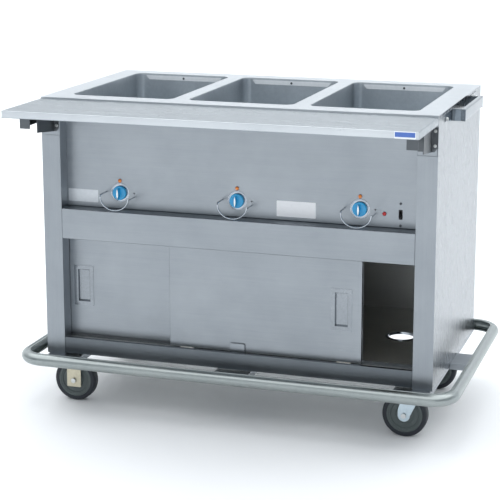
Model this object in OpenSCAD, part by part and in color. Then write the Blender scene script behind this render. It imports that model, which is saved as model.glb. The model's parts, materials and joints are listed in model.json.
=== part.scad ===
// Mobile three-well electric steam table with work shelf, sliding doors, bumper and casters.
// Millimetres. +Z is up, +X is to the operator's right, +Y points to the back.
// The origin is on the floor, under the middle of the whole footprint.

/* [Cabinet] */
// Length of the deck and cabinet
body_w = 1127; // [1100:1:1600]
// Depth of the cabinet, front posts to back panel
body_d = 622; // [600:1:800]
// Height of the cabinet, from its underside to the top of the deck
cabinet_h = 746; // [700:1:900]
// Sheet thickness of deck, panels, doors and rails
sheet = 1.5; // [1:0.1:3]
// Gap between pieces that are only laid side by side
seam = 0.2; // [0.1:0.05:0.5]
// Width of each front post
post_w = 55; // [45:1:70]
// How far the control panel stands behind the posts
recess = 45; // [40:1:48]
// Depth of the turned-down rim of the deck
deck_rim = 30; // [20:1:45]

/* [Wells] */
// Length of one well opening, side to side
well_w = 302; // [250:1:310]
// Depth of one well opening, front to back
well_l = 500; // [450:1:505]
// Distance between the middles of two wells
well_pitch = 347; // [345:1:380]
// Depth of a well liner
well_depth = 190; // [120:1:190]
// Corner radius of a well
well_r = 24; // [10:1:40]
// Strip of deck in front of the wells
well_front = 62; // [60:1:70]
// Flange of the liner under the deck
liner_flange = 12; // [8:1:16]
// Insulation thickness beside and below the wells
insulation_t = 18; // [12:1:19]
// Diameter of the heating element tube
element_d = 8; // [6:0.5:10]

/* [Front] */
// Distance from the deck top down to the ledge under the control panel
ledge_drop = 316; // [300:1:330]
// Height of the middle rail
mid_rail_h = 87; // [70:1:100]
// Height of the bottom rail
low_rail_h = 47; // [40:1:60]
// How far the bottom rail stands above the underside of the posts
rail_lift = 5; // [0:1:10]
// Distance from the deck top down to the top of the post covers
cover_drop = 107; // [100:1:130]
// Height of the cabinet floor below the top of the bottom rail
floor_step = 8; // [4:1:12]
// Diameter of the hose hole in the cabinet floor
hose_d = 76; // [50:1:90]
// Hose hole distance from the middle of the cabinet
hose_x = 405; // [300:1:420]
// Hose hole distance from the front of the cabinet
hose_y = 330; // [250:1:350]

/* [Doors] */
// How far the closed doors overlap each other
door_overlap = 82.5; // [40:0.5:120]
// Thickness of each sliding door
door_t = 14; // [13:0.5:18]
// Distance from the front of the cabinet to the face of the front door
door_front = 28; // [27:1:32]
// Gap between the two doors
door_gap = 5; // [4:0.5:8]
// How far the rear door laps behind its post when closed
door_lap = 14; // [5:1:20]
// How far the front door stands open
door_open = 147; // [0:1:300]
// Height of the glides under a door
glide_h = 5; // [3:1:8]
// Width of a door pull
pull_w = 60; // [45:1:70]
// Height of a door pull
pull_h = 118; // [90:1:130]
// Depth of the finger cup of a door pull
pull_cup = 11; // [8:0.5:12]
// Distance from a pull to the door's closing edge
pull_edge = 27; // [20:1:40]
// Distance from the top of the ledge down to the top of a pull
pull_drop = 174; // [150:1:200]

/* [Controls] */
// Distance from the deck top down to the knob middles
knob_drop = 269; // [264:1:275]
// Diameter of a knob
knob_d = 41; // [30:1:45]
// Height of a knob off the panel
knob_h = 24; // [18:1:30]
// Diameter of a dial plate
dial_d = 55; // [46:1:60]
// Diameter of the switch shaft under a knob
shaft_d = 6; // [5:0.5:8]
// Running clearance of shafts and axles, on the radius
run_gap = 0.05; // [0.02:0.01:0.1]
// Radius of a knob guard hoop
guard_r = 42; // [34:1:44]
// How far a guard hoop stands off the panel
guard_off = 46; // [30:1:60]
// Wire diameter of a guard hoop
guard_d = 4; // [3:0.5:6]
// Distance from a knob up to its lamp
lamp_up = 34; // [30:1:40]
// Diameter of a lamp
lamp_d = 12; // [9:1:16]
// Toggle switch distance from the middle of the cabinet
toggle_x = 458; // [440:1:470]
// Power lamp distance from the middle of the cabinet
power_x = 414; // [400:1:425]
// Toggle switch and power lamp distance below the knob middles
toggle_down = 9; // [0:1:20]

/* [Work shelf] */
// Depth of the work shelf
shelf_d = 243; // [200:1:260]
// Height of the turned-down edge of the shelf
shelf_edge = 20; // [15:1:30]
// How far the shelf top lies below the deck top
shelf_step = 4; // [2:1:8]
// Reach of a shelf bracket from the post
bracket_reach = 137; // [100:1:190]
// Width of a shelf bracket
bracket_w = 38; // [30:1:45]
// Height of a bracket at the post
bracket_h = 72; // [60:1:75]
// Metal thickness of a bracket
bracket_t = 2.5; // [2:0.5:4]

/* [Push handle] */
// Length of the push handle
handle_l = 267; // [200:1:300]
// How far the push handle stands off the end panel
handle_off = 37; // [32:1:50]
// Height of the push handle
handle_h = 32; // [25:1:40]
// Metal thickness of the push handle
handle_t = 3; // [2:0.5:4]
// Distance from the deck top down to the top of the handle
handle_drop = 8; // [4:1:20]
// Length of each bolted foot of the handle arms
handle_foot = 95; // [60:1:100]

/* [Base] */
// How far the bumper stands out from the cabinet
bumper_out = 76; // [70:1:90]
// Height of the bumper rail
bumper_h = 34; // [34:1:36]
// Depth of the bumper rail section
bumper_d = 25; // [24:1:32]
// Outer corner radius of the bumper
bumper_r = 80; // [60:1:100]
// Wall of the bumper rail
bumper_t = 2; // [1.5:0.5:3]
// Width of a base channel
channel_w = 100; // [90:1:110]
// Depth of a base channel
channel_h = 19; // [15:1:20]
// Metal thickness of a base channel
channel_t = 3; // [2:0.5:4]
// Distance from the end of the cabinet to the middle of the end channels
channel_in = 55; // [51:1:60]

/* [Casters] */
// Wheel diameter
wheel_d = 127; // [100:1:127]
// Tread width
wheel_w = 32; // [25:1:38]
// Tyre thickness
tyre_t = 13; // [8:1:16]
// Height of a caster, floor to the top of its plate
caster_h = 165; // [165:1:175]
// Distance from the end of the cabinet to the middle of the rigid casters
rigid_in = 44; // [44:1:60]
// Distance from the end of the cabinet to the middle of the swivel casters
swivel_in = 52; // [52:1:58]
// Distance from the front or back of the cabinet to the wheel's middle
caster_deep = 100; // [90:1:140]
// Trail of the swivel casters
trail = 41; // [30:1:46]
// Axle diameter
axle_d = 10; // [8:0.5:12]
// Length of a caster plate along the cabinet's depth
plate_l = 95; // [80:1:105]
// Width of a caster plate
plate_w = 64; // [56:1:70]
// Metal thickness of caster plates and forks
fork_t = 3; // [2.5:0.5:4]

/* [Hidden] */
$fn = 64;
eps = 0.01;

lamp_body = lamp_d - 2;

// Levels
base_z = caster_h + channel_t;
deck_z = base_z + cabinet_h;
ledge_z = deck_z - ledge_drop;
mid_rail_z = ledge_z - mid_rail_h;
low_rail_z = base_z + rail_lift;
low_rail_top = low_rail_z + low_rail_h;
floor_z = low_rail_top - floor_step;
cover_z = deck_z - cover_drop;
knob_z = deck_z - knob_drop;
toggle_z = knob_z - toggle_down;
shelf_z = deck_z - shelf_step;
axle_z = wheel_d / 2;

// Front, back and middle of the cabinet
yf = (shelf_d - body_d - bumper_out) / 2;
yb = yf + body_d;
ym = (yf + yb) / 2;
panel_y = yf + recess;
open_w = body_w - 2 * post_w;
half_in = body_w / 2 - sheet - seam;

// Wells
well_y = yf + well_front + well_l / 2;
liner_floor = deck_z - sheet - well_depth;
element_gap = 2;
element_room = element_d + 2 * element_gap;

// Doors
track_t = 2;
track_lift = 34;
track_depth = 25;
track_room = 2;
hanger_w = 30;
hanger_in = 100;
door_side = 1.5;
door_w = (open_w + door_lap + door_overlap - door_side) / 2;
door_z = floor_z + glide_h + seam;
track_z = mid_rail_z + track_lift;
door_top_gap = 5;
door_top = track_z - door_top_gap;
front_door_y = yf + door_front;
rear_door_y = front_door_y + door_t + door_gap;
front_door_x = open_w / 2 - door_side - door_open - door_w;
rear_door_x = -open_w / 2 - door_lap;
pull_z = ledge_z - pull_drop - pull_h;
pull_rim = 12;
pull_lip = 1;

// Casters
rigid_x = -(body_w / 2 - rigid_in);
swivel_x = body_w / 2 - swivel_in;
plate_z = caster_h - fork_t;
hub_out = 2;
hub_gap = 1;
hub_w = wheel_w + 2 * hub_out;
leg_y = hub_w / 2 + hub_gap;
race_d = 52;
race_h = 14;
kingpin_d = 12;
kingpin_head_d = 22;
kingpin_head_h = 3;
crown_gap = 0.3;
crown_z = plate_z - race_h - crown_gap - fork_t;
axle_head_d = 16;
axle_head_h = 6;
bolt_head_d = 13;
plate_r = 6;
plate_hole_d = 8;
plate_hole_x = plate_w / 2 - 9;
plate_hole_y = plate_l / 2 - 10;
bolt_head_h = 4;

// The base channels end inside the bumper, where its round face begins
channel_end = bumper_out - bumper_h / 2;
bumper_z = base_z - channel_h - seam - bumper_t + bumper_h / 2;
channel_x = [-(body_w / 2 - channel_in), 0, body_w / 2 - channel_in];

steel = [0.72, 0.76, 0.80];
dark_steel = [0.45, 0.48, 0.52];
zinc = [0.70, 0.74, 0.74];

// Middles of the three wells
wells = [-well_pitch, 0, well_pitch];

// A rectangle with round corners, around the origin
module round_rect(w, d, r) {
    square([w - 2 * r, d], center = true);
    square([w, d - 2 * r], center = true);
    for (x = [-1, 1], y = [-1, 1])
        translate([x * (w / 2 - r), y * (d / 2 - r)]) circle(r);
}

// A box from its lowest corner to its highest corner
module block(low, high) {
    translate(low) cube(high - low);
}

// A round bar along Y, from y to y + h
module bar_y(x, y, z, d, h) {
    translate([x, y, z]) rotate([-90, 0, 0]) cylinder(d = d, h = h);
}

// A round bar along X, from x to x + h
module bar_x(x, y, z, d, h) {
    translate([x, y, z]) rotate([0, 90, 0]) cylinder(d = d, h = h);
}

// ---- Deck and wells ----

module deck() {
    color(steel) {
        translate([0, ym, deck_z - sheet]) linear_extrude(sheet) difference() {
            square([body_w, body_d], center = true);
            for (x = wells) translate([x, well_y - ym]) round_rect(well_w, well_l, well_r);
        }
        rim_in = half_in - seam;
        block([-body_w / 2, yf, deck_z - deck_rim], [body_w / 2, yf + sheet, deck_z - sheet + eps]);
        block([-rim_in, yb - sheet, deck_z - deck_rim], [rim_in, yb, deck_z - sheet + eps]);
    }
}

module well_liner(x) {
    color([0.62, 0.65, 0.68]) translate([x, well_y, liner_floor]) {
        difference() {
            linear_extrude(well_depth) round_rect(well_w + 2 * sheet, well_l + 2 * sheet, well_r + sheet);
            translate([0, 0, sheet]) linear_extrude(well_depth) round_rect(well_w, well_l, well_r);
        }
        translate([0, 0, well_depth - sheet]) linear_extrude(sheet) difference() {
            round_rect(well_w + 2 * liner_flange, well_l + 2 * liner_flange, well_r + liner_flange);
            round_rect(well_w, well_l, well_r);
        }
    }
}

trim_l = well_w - 2 * well_r - 6;
trim_h = 13;
trim_low = 4;
trim_cut = 10;

module well_trims() {
    color(steel) for (x = wells)
        translate([x, well_y + well_l / 2 - sheet, deck_z - sheet - trim_low - trim_h])
            rotate([90, 0, 0]) translate([0, 0, -sheet + seam]) linear_extrude(sheet - seam)
                polygon([[-trim_l / 2 + trim_cut, 0], [trim_l / 2 - trim_cut, 0],
                    [trim_l / 2, trim_h], [-trim_l / 2, trim_h]]);
}

panel_screw_d = 7;
panel_screw_h = 2;
toggle_screw_pitch = 60.3;

module panel_screws() {
    color(dark_steel) {
        for (x = wells)
            bar_y(x, well_y + well_l / 2 - sheet - panel_screw_h,
                deck_z - sheet - trim_low - trim_h / 2, panel_screw_d, panel_screw_h);
        for (s = [-1, 1])
            bar_y(toggle_x, panel_y - panel_screw_h, toggle_z + s * toggle_screw_pitch / 2,
                panel_screw_d, panel_screw_h);
    }
}

insulation_gap = 1;

module well_insulation() {
    side = well_w / 2 + sheet + insulation_t;
    front = well_y - well_l / 2 - sheet - insulation_t / 2;
    back = well_y + well_l / 2 + sheet + insulation_t;
    top = deck_z - 2 * sheet - insulation_gap;
    pocket = liner_floor - element_room;
    wall = sheet + insulation_gap;
    color([0.90, 0.86, 0.62]) difference() {
        block([wells[0] - side, front, pocket - insulation_t],
            [wells[2] + side, back, top]);
        for (x = wells) translate([x, well_y, pocket])
            linear_extrude(top - pocket + 1)
                round_rect(well_w + 2 * wall, well_l + 2 * wall, well_r + wall);
    }
}

element_span = 180;
element_reach = 150;

module heating_elements() {
    color([0.35, 0.33, 0.32]) for (x = wells)
        translate([x, well_y, liner_floor - element_room / 2]) {
            for (s = [-1, 1]) bar_y(s * element_span / 2, -element_reach, 0, element_d, 2 * element_reach);
            translate([0, element_reach, 0]) rotate_extrude(angle = 180)
                translate([element_span / 2, 0]) circle(d = element_d);
        }
}

// ---- Cabinet shell ----

flange_w = 20;

module end_panel() {
    x_out = body_w / 2;
    x_in = x_out - sheet;
    block([x_in, yf + sheet + seam, base_z], [x_out, yb, deck_z - sheet]);
    back = yb - 2 * sheet - seam;
    block([x_in - flange_w, back, base_z + sheet], [x_in + eps, back + sheet, deck_z - deck_rim]);
    block([x_in - flange_w, panel_y + flange_w, base_z], [x_in + eps, back + eps, base_z + sheet]);
}

module left_end_panel() { color(steel) mirror([1, 0, 0]) end_panel(); }

module right_end_panel() { color(steel) end_panel(); }

gland_d = 20;
gland_side = 120;
gland_up = 560;
gland_x = body_w / 2 - gland_side;
gland_z = base_z + gland_up;

module back_panel() {
    color(steel) difference() {
        block([-half_in, yb - sheet, base_z], [half_in, yb, deck_z - deck_rim - seam]);
        bar_y(gland_x, yb - sheet - 1, gland_z, gland_d + 2 * seam, sheet + 2);
    }
}

module post() {
    low = [body_w / 2 - post_w, yf + sheet + seam, base_z];
    high = [half_in, panel_y - seam, deck_z - sheet - seam];
    difference() {
        block(low, high);
        block(low + [sheet, sheet, -1], high + [-sheet, 1, 1]);
    }
}

module front_posts() {
    color(steel) for (s = [0, 1]) mirror([s, 0, 0]) post();
}

cover_r = 6;

module post_cover() {
    // The lower outer corner is round
    translate([body_w / 2 - post_w, yf + sheet, base_z]) rotate([90, 0, 0]) linear_extrude(sheet) {
        translate([0, cover_r]) square([post_w, cover_z - base_z - cover_r]);
        square([post_w - cover_r, cover_r + eps]);
        translate([post_w - cover_r, cover_r]) circle(cover_r);
    }
}

module post_covers() {
    color(steel) for (s = [0, 1]) mirror([s, 0, 0]) post_cover();
}

panel_top = deck_z - sheet - seam;
shaft_hole = shaft_d + 4;
slot_w = 10;
slot_h = 26;

module control_panel() {
    color(steel) difference() {
        union() {
            block([-half_in, panel_y, ledge_z + seam], [half_in, panel_y + sheet, panel_top]);
            block([-half_in, panel_y, ledge_z + seam], [half_in, panel_y + flange_w, ledge_z + seam + sheet]);
        }
        for (x = wells) {
            bar_y(x, panel_y - 1, knob_z, shaft_hole, sheet + 2);
            bar_y(x, panel_y - 1, knob_z + lamp_up, lamp_body + 2 * seam, sheet + 2);
            for (s = [-1, 1])
                bar_y(x + s * guard_r, panel_y - 1, knob_z, guard_d + 2 * run_gap, sheet + 2);
        }
        bar_y(power_x, panel_y - 1, toggle_z, lamp_body + 2 * seam, sheet + 2);
        block([toggle_x - slot_w / 2 - seam, panel_y - 1, toggle_z - slot_h / 2 - seam],
            [toggle_x + slot_w / 2 + seam, panel_y + sheet + 1, toggle_z + slot_h / 2 + seam]);
    }
}

rail_lip = 12;

module middle_rail() {
    w = open_w / 2 - seam;
    color(steel) {
        block([-w, yf, mid_rail_z], [w, yf + sheet, ledge_z]);
        block([-w, yf, ledge_z - sheet], [w, panel_y + flange_w, ledge_z]);
        block([-w, yf, mid_rail_z], [w, yf + rail_lip, mid_rail_z + sheet]);
    }
}

module bottom_rail() {
    w = open_w / 2 - seam;
    color(steel) {
        block([-w, yf, low_rail_z], [w, yf + sheet, low_rail_top]);
        block([-w, yf, low_rail_top - sheet], [w, yf + rail_lip, low_rail_top]);
        block([-w, yf, low_rail_z], [w, yf + 2 * rail_lip, low_rail_z + sheet]);
    }
}

module cabinet_floor() {
    low_y = yf + rail_lip + seam;
    high_y = yb - 2 * sheet - 2 * seam;
    skirt_y = panel_y + flange_w;
    skirt_z = base_z + sheet + seam;
    tongue_w = open_w / 2 - seam;
    w = half_in - seam;
    color(dark_steel) difference() {
        union() {
            // Tongue between the posts, then the full width behind them
            block([-tongue_w, low_y, floor_z - sheet], [tongue_w, panel_y + seam + eps, floor_z]);
            block([-w, panel_y + seam, floor_z - sheet], [w, high_y, floor_z]);
            // Turned-down skirts at the sides and the back
            for (s = [-1, 1]) translate([s * (w - sheet / 2), 0, 0])
                block([-sheet / 2, skirt_y, skirt_z], [sheet / 2, high_y, floor_z]);
            block([-w, high_y - sheet, skirt_z], [w, high_y, floor_z]);
        }
        translate([hose_x, yf + hose_y, floor_z - sheet - 1])
            cylinder(d = hose_d + 2 * grommet_t, h = sheet + 2);
    }
}

grommet_t = 3;
grommet_lip = 5;
grommet_lip_t = 2;
grommet_down = 4;

module hose_grommet() {
    color([0.80, 0.83, 0.85]) translate([hose_x, yf + hose_y, 0]) rotate_extrude() {
        translate([hose_d / 2, floor_z - sheet - grommet_down])
            square([grommet_t - seam, grommet_down + sheet + grommet_lip_t]);
        translate([hose_d / 2, floor_z]) square([grommet_t + grommet_lip, grommet_lip_t]);
    }
}

module door_track() {
    middle_fin = front_door_y + door_t + (door_gap - track_t) / 2;
    fins = [front_door_y - track_room - track_t, middle_fin, rear_door_y + door_t + track_room];
    w = open_w / 2 - seam;
    color(dark_steel) {
        // Upper double track, hung from the ledge
        block([-w, fins[0], track_z], [w, fins[2] + track_t, track_z + track_t]);
        for (y = fins) block([-w, y, track_z - track_depth], [w, y + track_t, track_z + eps]);
        for (x = [-1, 0, 1])
            translate([x * (w - hanger_in), 0, 0])
                block([-hanger_w / 2, fins[0], track_z + track_t - eps],
                    [hanger_w / 2, fins[2] + track_t, ledge_z - sheet]);
        // Lower rib on the floor, between the doors
        block([-w, fins[1], floor_z], [w, fins[1] + track_t, floor_z + 2 * glide_h]);
    }
}

tab_w = 43;
tab_h = 30;
tab_t = 2;
tab_r = 4;
tab_x = 6;
tab_gap = 3;

module door_guide_tab() {
    y = front_door_y - tab_gap - tab_t;
    color(steel) {
        translate([tab_x, y + tab_t, floor_z]) rotate([90, 0, 0]) linear_extrude(tab_t) {
            translate([-tab_w / 2, 0]) square([tab_w, tab_h - tab_r]);
            translate([-tab_w / 2, 0]) square([tab_w - tab_r, tab_h]);
            translate([tab_w / 2 - tab_r, tab_h - tab_r]) circle(tab_r);
        }
        translate([tab_x, 0, floor_z])
            block([-tab_w / 2, yf + rail_lip + seam, 0], [tab_w / 2, y + eps, tab_t]);
    }
}

// ---- Doors ----

// A folded door pan with a window for its pull, from its lower front left corner
module door_pan(pull_x) {
    size = [door_w, door_t, door_top - door_z];
    difference() {
        cube(size);
        translate([sheet, sheet, sheet]) cube(size - [2 * sheet, 0, 2 * sheet]);
        translate([pull_x + pull_rim - seam, -1, pull_z - door_z + pull_rim - seam])
            cube([pull_w - 2 * pull_rim + 2 * seam, sheet + 2, pull_h - 2 * pull_rim + 2 * seam]);
    }
}

// A flush pull: a thin frame on the door's face and a cup behind it
module pull() {
    cup_in = pull_rim + sheet;
    difference() {
        union() {
            translate([0, -pull_lip, 0]) cube([pull_w, pull_lip, pull_h]);
            block([pull_rim, -eps, pull_rim], [pull_w - pull_rim, pull_cup, pull_h - pull_rim]);
        }
        block([cup_in, -pull_lip - 1, cup_in], [pull_w - cup_in, pull_cup - sheet, pull_h - cup_in]);
    }
}

front_pull_x = door_w - pull_edge - pull_w;
rear_pull_x = pull_edge;

module front_door() { color(steel) translate([front_door_x, front_door_y, door_z]) door_pan(front_pull_x); }

module rear_door() { color(steel) translate([rear_door_x, rear_door_y, door_z]) door_pan(rear_pull_x); }

module front_door_pull() {
    color([0.6, 0.62, 0.65]) translate([front_door_x + front_pull_x, front_door_y, pull_z]) pull();
}

module rear_door_pull() {
    color([0.6, 0.62, 0.65]) translate([rear_door_x + rear_pull_x, rear_door_y, pull_z]) pull();
}

glide_l = 40;
glide_in = 30;
glide_side = 3;
glide_top_gap = 2;

// Nylon glides: two under the door on the floor, two on its top edge inside the track
module glides(x0, y0) {
    y1 = y0 + glide_side;
    y2 = y0 + door_t - glide_side;
    for (x = [x0 + glide_in, x0 + door_w - glide_in - glide_l]) {
        block([x, y1, floor_z + seam], [x + glide_l, y2, door_z]);
        block([x, y1, door_top], [x + glide_l, y2, track_z - glide_top_gap]);
    }
}

module front_door_glides() { color("white") glides(front_door_x, front_door_y); }

module rear_door_glides() { color("white") glides(rear_door_x, rear_door_y); }

// ---- Controls ----

dial_t = 1;
knob_gap = 0.5;
knob_step = 4;
shaft_in = 20;
shaft_up = 12;
grip_w = 9;
grip_l = 34;
skirt_h = 9;

module dial_plates() {
    color([0.82, 0.84, 0.86]) for (x = wells)
        difference() {
            bar_y(x, panel_y - dial_t, knob_z, dial_d, dial_t);
            bar_y(x, panel_y - dial_t - 1, knob_z, shaft_hole, dial_t + 2);
        }
}

// Knob with its switch shaft; x is its place along the cabinet
module knob(x) {
    face_y = panel_y - dial_t - knob_gap;
    tip_y = panel_y - knob_h;
    color([0.16, 0.58, 0.80]) difference() {
        union() {
            bar_y(x, face_y - skirt_h, knob_z, knob_d, skirt_h);
            bar_y(x, tip_y + knob_step, knob_z, knob_d - 2 * knob_step, knob_h - knob_step - skirt_h);
            // Grip bar across the face
            translate([x, 0, knob_z])
                block([-grip_w / 2, tip_y, -grip_l / 2], [grip_w / 2, face_y - skirt_h + 1, grip_l / 2]);
        }
        bar_y(x, face_y - shaft_up - run_gap, knob_z, shaft_d + 2 * run_gap, shaft_up + 1);
    }
    color(zinc) bar_y(x, face_y - shaft_up, knob_z, shaft_d, shaft_up + knob_gap + dial_t + sheet + shaft_in);
}

guard_end = 6;

module knob_guards() {
    y = panel_y - guard_off;
    color([0.80, 0.83, 0.86]) for (x = wells) {
        translate([x, y, knob_z]) rotate([90, 0, 0]) rotate([0, 0, 180]) rotate_extrude(angle = 180)
            translate([guard_r, 0]) circle(d = guard_d);
        for (s = [-1, 1]) {
            translate([x + s * guard_r, y, knob_z]) sphere(d = guard_d);
            bar_y(x + s * guard_r, y, knob_z, guard_d, guard_off + sheet + guard_end);
        }
    }
}

lamp_collar = 2;
lamp_l = 24;

// A pilot lamp: domed jewel, collar and body through the panel
module lamp(x, z) {
    r = lamp_body / 2;
    translate([x, panel_y, z]) rotate([90, 0, 0]) rotate_extrude() {
        square([lamp_d / 2, lamp_collar]);
        translate([0, -sheet - lamp_l]) square([r, sheet + lamp_l + eps]);
        translate([0, lamp_collar - eps]) intersection() {
            circle(r);
            square([r, r]);
        }
    }
}

module indicator_lamps() {
    color([0.80, 0.38, 0.12]) for (x = wells) lamp(x, knob_z + lamp_up);
    color([0.72, 0.10, 0.10]) lamp(power_x, toggle_z);
}

switch_w = 44;
switch_d = 36;
switch_up = 16;
shaft_end_gap = 2;

module control_switches() {
    color([0.25, 0.25, 0.27]) for (x = wells)
        difference() {
            block([x - switch_w / 2, panel_y + sheet, knob_z - switch_w / 2],
                [x + switch_w / 2, panel_y + sheet + switch_d, knob_z + switch_up]);
            bar_y(x, panel_y + sheet - 1, knob_z, shaft_d + 2 * run_gap,
                shaft_in + shaft_end_gap + 1);
        }
}

toggle_y = panel_y + 5;
lever_d = 6;
lever_l = 17;
lever_tilt = 28;
pivot_d = 3;
pivot_l = 11.6;
ear_w = 24;
ear_h = 72;
toggle_w = 22;
toggle_l = 44;
toggle_depth = 30;
strap_t = 2;
bezel_t = 3;
lever_well = [7, 10, 20];

module toggle_switch() {
    back = panel_y + sheet;
    color([0.12, 0.12, 0.13]) translate([toggle_x, 0, toggle_z]) difference() {
        union() {
            // Mounting strap, bezel in the panel's slot, and body
            block([-ear_w / 2, back, -ear_h / 2], [ear_w / 2, back + strap_t, ear_h / 2]);
            block([-slot_w / 2, panel_y, -slot_h / 2], [slot_w / 2, back + bezel_t, slot_h / 2]);
            block([-toggle_w / 2, back + 1, -toggle_l / 2],
                [toggle_w / 2, back + toggle_depth, toggle_l / 2]);
        }
        // Well for the lever, and the bore of its pivot
        translate([0, toggle_y, 0]) cube(lever_well, center = true);
        translate([0, panel_y, 0]) cube([lever_well[0], 4, lever_well[2]], center = true);
        bar_x(-pivot_l / 2 - seam, toggle_y, 0, pivot_d + 2 * run_gap, pivot_l + 2 * seam);
    }
}

module toggle_lever() {
    color([0.10, 0.10, 0.11]) {
        bar_x(toggle_x - pivot_l / 2, toggle_y, toggle_z, pivot_d, pivot_l);
        translate([toggle_x, toggle_y, toggle_z]) rotate([90 + lever_tilt, 0, 0]) {
            cylinder(d = lever_d - 1, h = lever_l - lever_d / 2);
            translate([0, 0, lever_l - lever_d / 2]) sphere(d = lever_d);
        }
    }
}

terminal_in = 60;
terminal_back = 42;
terminal_up = 8;
terminal_w = 40;
terminal_d = 28;
terminal_h = 60;
terminal_pitch = 18;
terminal_hole = 9;
terminal_plate = 2;

// Terminal block with its bracket out to the end panel
module terminal_block() {
    x = body_w / 2 - terminal_in;
    y = panel_y + terminal_back;
    z = ledge_z + terminal_up;
    color([0.20, 0.20, 0.22]) difference() {
        block([x - terminal_w / 2, y, z], [x + terminal_w / 2, y + terminal_d, z + terminal_h]);
        for (i = [-1, 0, 1])
            bar_y(x, y - 1, z + terminal_h / 2 + i * terminal_pitch, terminal_hole, terminal_d / 2);
    }
    color(dark_steel) block([x - terminal_w / 2, y + terminal_d, z],
        [half_in, y + terminal_d + terminal_plate, z + terminal_h]);
}

gland_in = 14;
gland_out = 12;
gland_bore = 11;
gland_head = 6;
gland_nut = 5;
nut_w = 29;

// Cord gland: threaded barrel, hexagonal head outside and nut inside
module cord_gland() {
    color([0.12, 0.12, 0.12]) translate([gland_x, yb, gland_z]) rotate([90, 0, 0]) difference() {
        union() {
            translate([0, 0, -gland_out]) cylinder(d = gland_d, h = gland_out + sheet + gland_in);
            translate([0, 0, -gland_head]) cylinder(d = nut_w, h = gland_head, $fn = 6);
            translate([0, 0, sheet]) cylinder(d = nut_w, h = gland_nut, $fn = 6);
        }
        translate([0, 0, -gland_out - 1]) cylinder(d = gland_bore, h = gland_out + sheet + gland_in + 2);
    }
}

label_t = 0.4;
rating_label = [111, 44];
name_plate = [91, 36];
shelf_label = 54;
shelf_label_in = 8;
label_edge = 1;
rating_place = [well_pitch / 2 - 5, knob_z - 14];
plate_place = [3 - open_w / 2, knob_z - 33];

// Blank labels: on the panel between two knobs, at its left end, and on the shelf's edge
module blank_labels() {
    color("white") translate([rating_place[0], panel_y, rating_place[1]])
        block([-rating_label[0] / 2, -label_t, -rating_label[1] / 2],
            [rating_label[0] / 2, 0, rating_label[1] / 2]);
    color([0.78, 0.80, 0.82]) translate([plate_place[0], panel_y, plate_place[1]])
        block([0, -label_t, 0], [name_plate[0], 0, name_plate[1]]);
    color([0.30, 0.45, 0.78]) translate([body_w / 2 - shelf_label_in, yf - shelf_d, shelf_z])
        block([-shelf_label, 0, label_edge - shelf_edge], [0, label_t, -label_edge]);
}

// ---- Work shelf ----

module work_shelf() {
    low = [-body_w / 2, yf - shelf_d + label_t, shelf_z - shelf_edge];
    high = [body_w / 2, yf - seam, shelf_z];
    color(steel) difference() {
        block(low, high);
        block(low + [sheet, sheet, -1], high - [sheet, sheet, sheet]);
    }
}

bracket_in = 16;
bracket_edge = 1;
bracket_notch = 8;
bracket_hole = 5;
foot_cut = [8, 10];
flange_out = 14;
gusset_l = 105;
gusset_rise = 12;
arm_h = 45;
bracket_bolts = [16, 55];
bracket_z = shelf_z - shelf_edge - seam;
bracket_y = yf + sheet + seam;
foot_bolt_x = flange_out - 6;
foot_drop = bracket_z - (deck_z - deck_rim) + seam;

// Bent-sheet bracket. Its deep side plate is at x = 0, and its bolted foot is on the +X side
module shelf_bracket() {
    top = bracket_z;
    tip = yf - bracket_reach;
    // Top web and front plate
    block([-bracket_w, tip, top - bracket_t], [0, yf, top]);
    block([-bracket_w, tip, top - arm_h], [-bracket_notch, tip + bracket_t, top]);
    // Outer side plate, then the deep side plate with its sloping lower edge
    block([-bracket_w, tip, top - arm_h], [-bracket_w + bracket_t, yf, top]);
    translate([0, yf, top]) rotate([90, 0, -90]) linear_extrude(bracket_t)
        polygon([[0, 0], [gusset_l, 0], [gusset_l, -bracket_h + gusset_rise], [0, -bracket_h]]);
    // Foot on the post
    translate([0, bracket_y, top]) rotate([90, 0, 0]) linear_extrude(bracket_t) difference() {
        polygon([[-bracket_w, -foot_drop], [flange_out, -foot_drop], [flange_out, -bracket_h + foot_cut[1]],
            [flange_out - foot_cut[0], -bracket_h], [-bracket_w, -bracket_h]]);
        for (b = bracket_bolts) translate([foot_bolt_x, -b]) circle(d = bracket_hole);
    }
}

bracket_x = [-body_w / 2 + bracket_w + bracket_edge, body_w / 2 - bracket_in];

module shelf_brackets() {
    color(dark_steel) for (x = bracket_x) translate([x, 0, 0]) shelf_bracket();
}

// ---- Push handle ----

handle_z = deck_z - handle_drop - handle_h;
handle_edge = 12;
handle_bolt_up = 17;
handle_bolt_in = 12;
handle_hole = 6;
handle_foot_rise = 11;
handle_bolt_z = handle_z + handle_bolt_up;

// A sheet bar with its top and bottom edges turned in
module push_bar() {
    x = body_w / 2 + handle_off;
    y = handle_l / 2;
    color(steel) {
        block([x - handle_t, ym - y, handle_z], [x, ym + y, handle_z + handle_h - handle_t]);
        block([x - handle_edge, ym - y, handle_z + handle_h - handle_t - eps],
              [x, ym + y, handle_z + handle_h]);
        block([x - handle_edge, ym - y, handle_z - eps], [x, ym + y, handle_z + handle_t]);
    }
}

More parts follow.
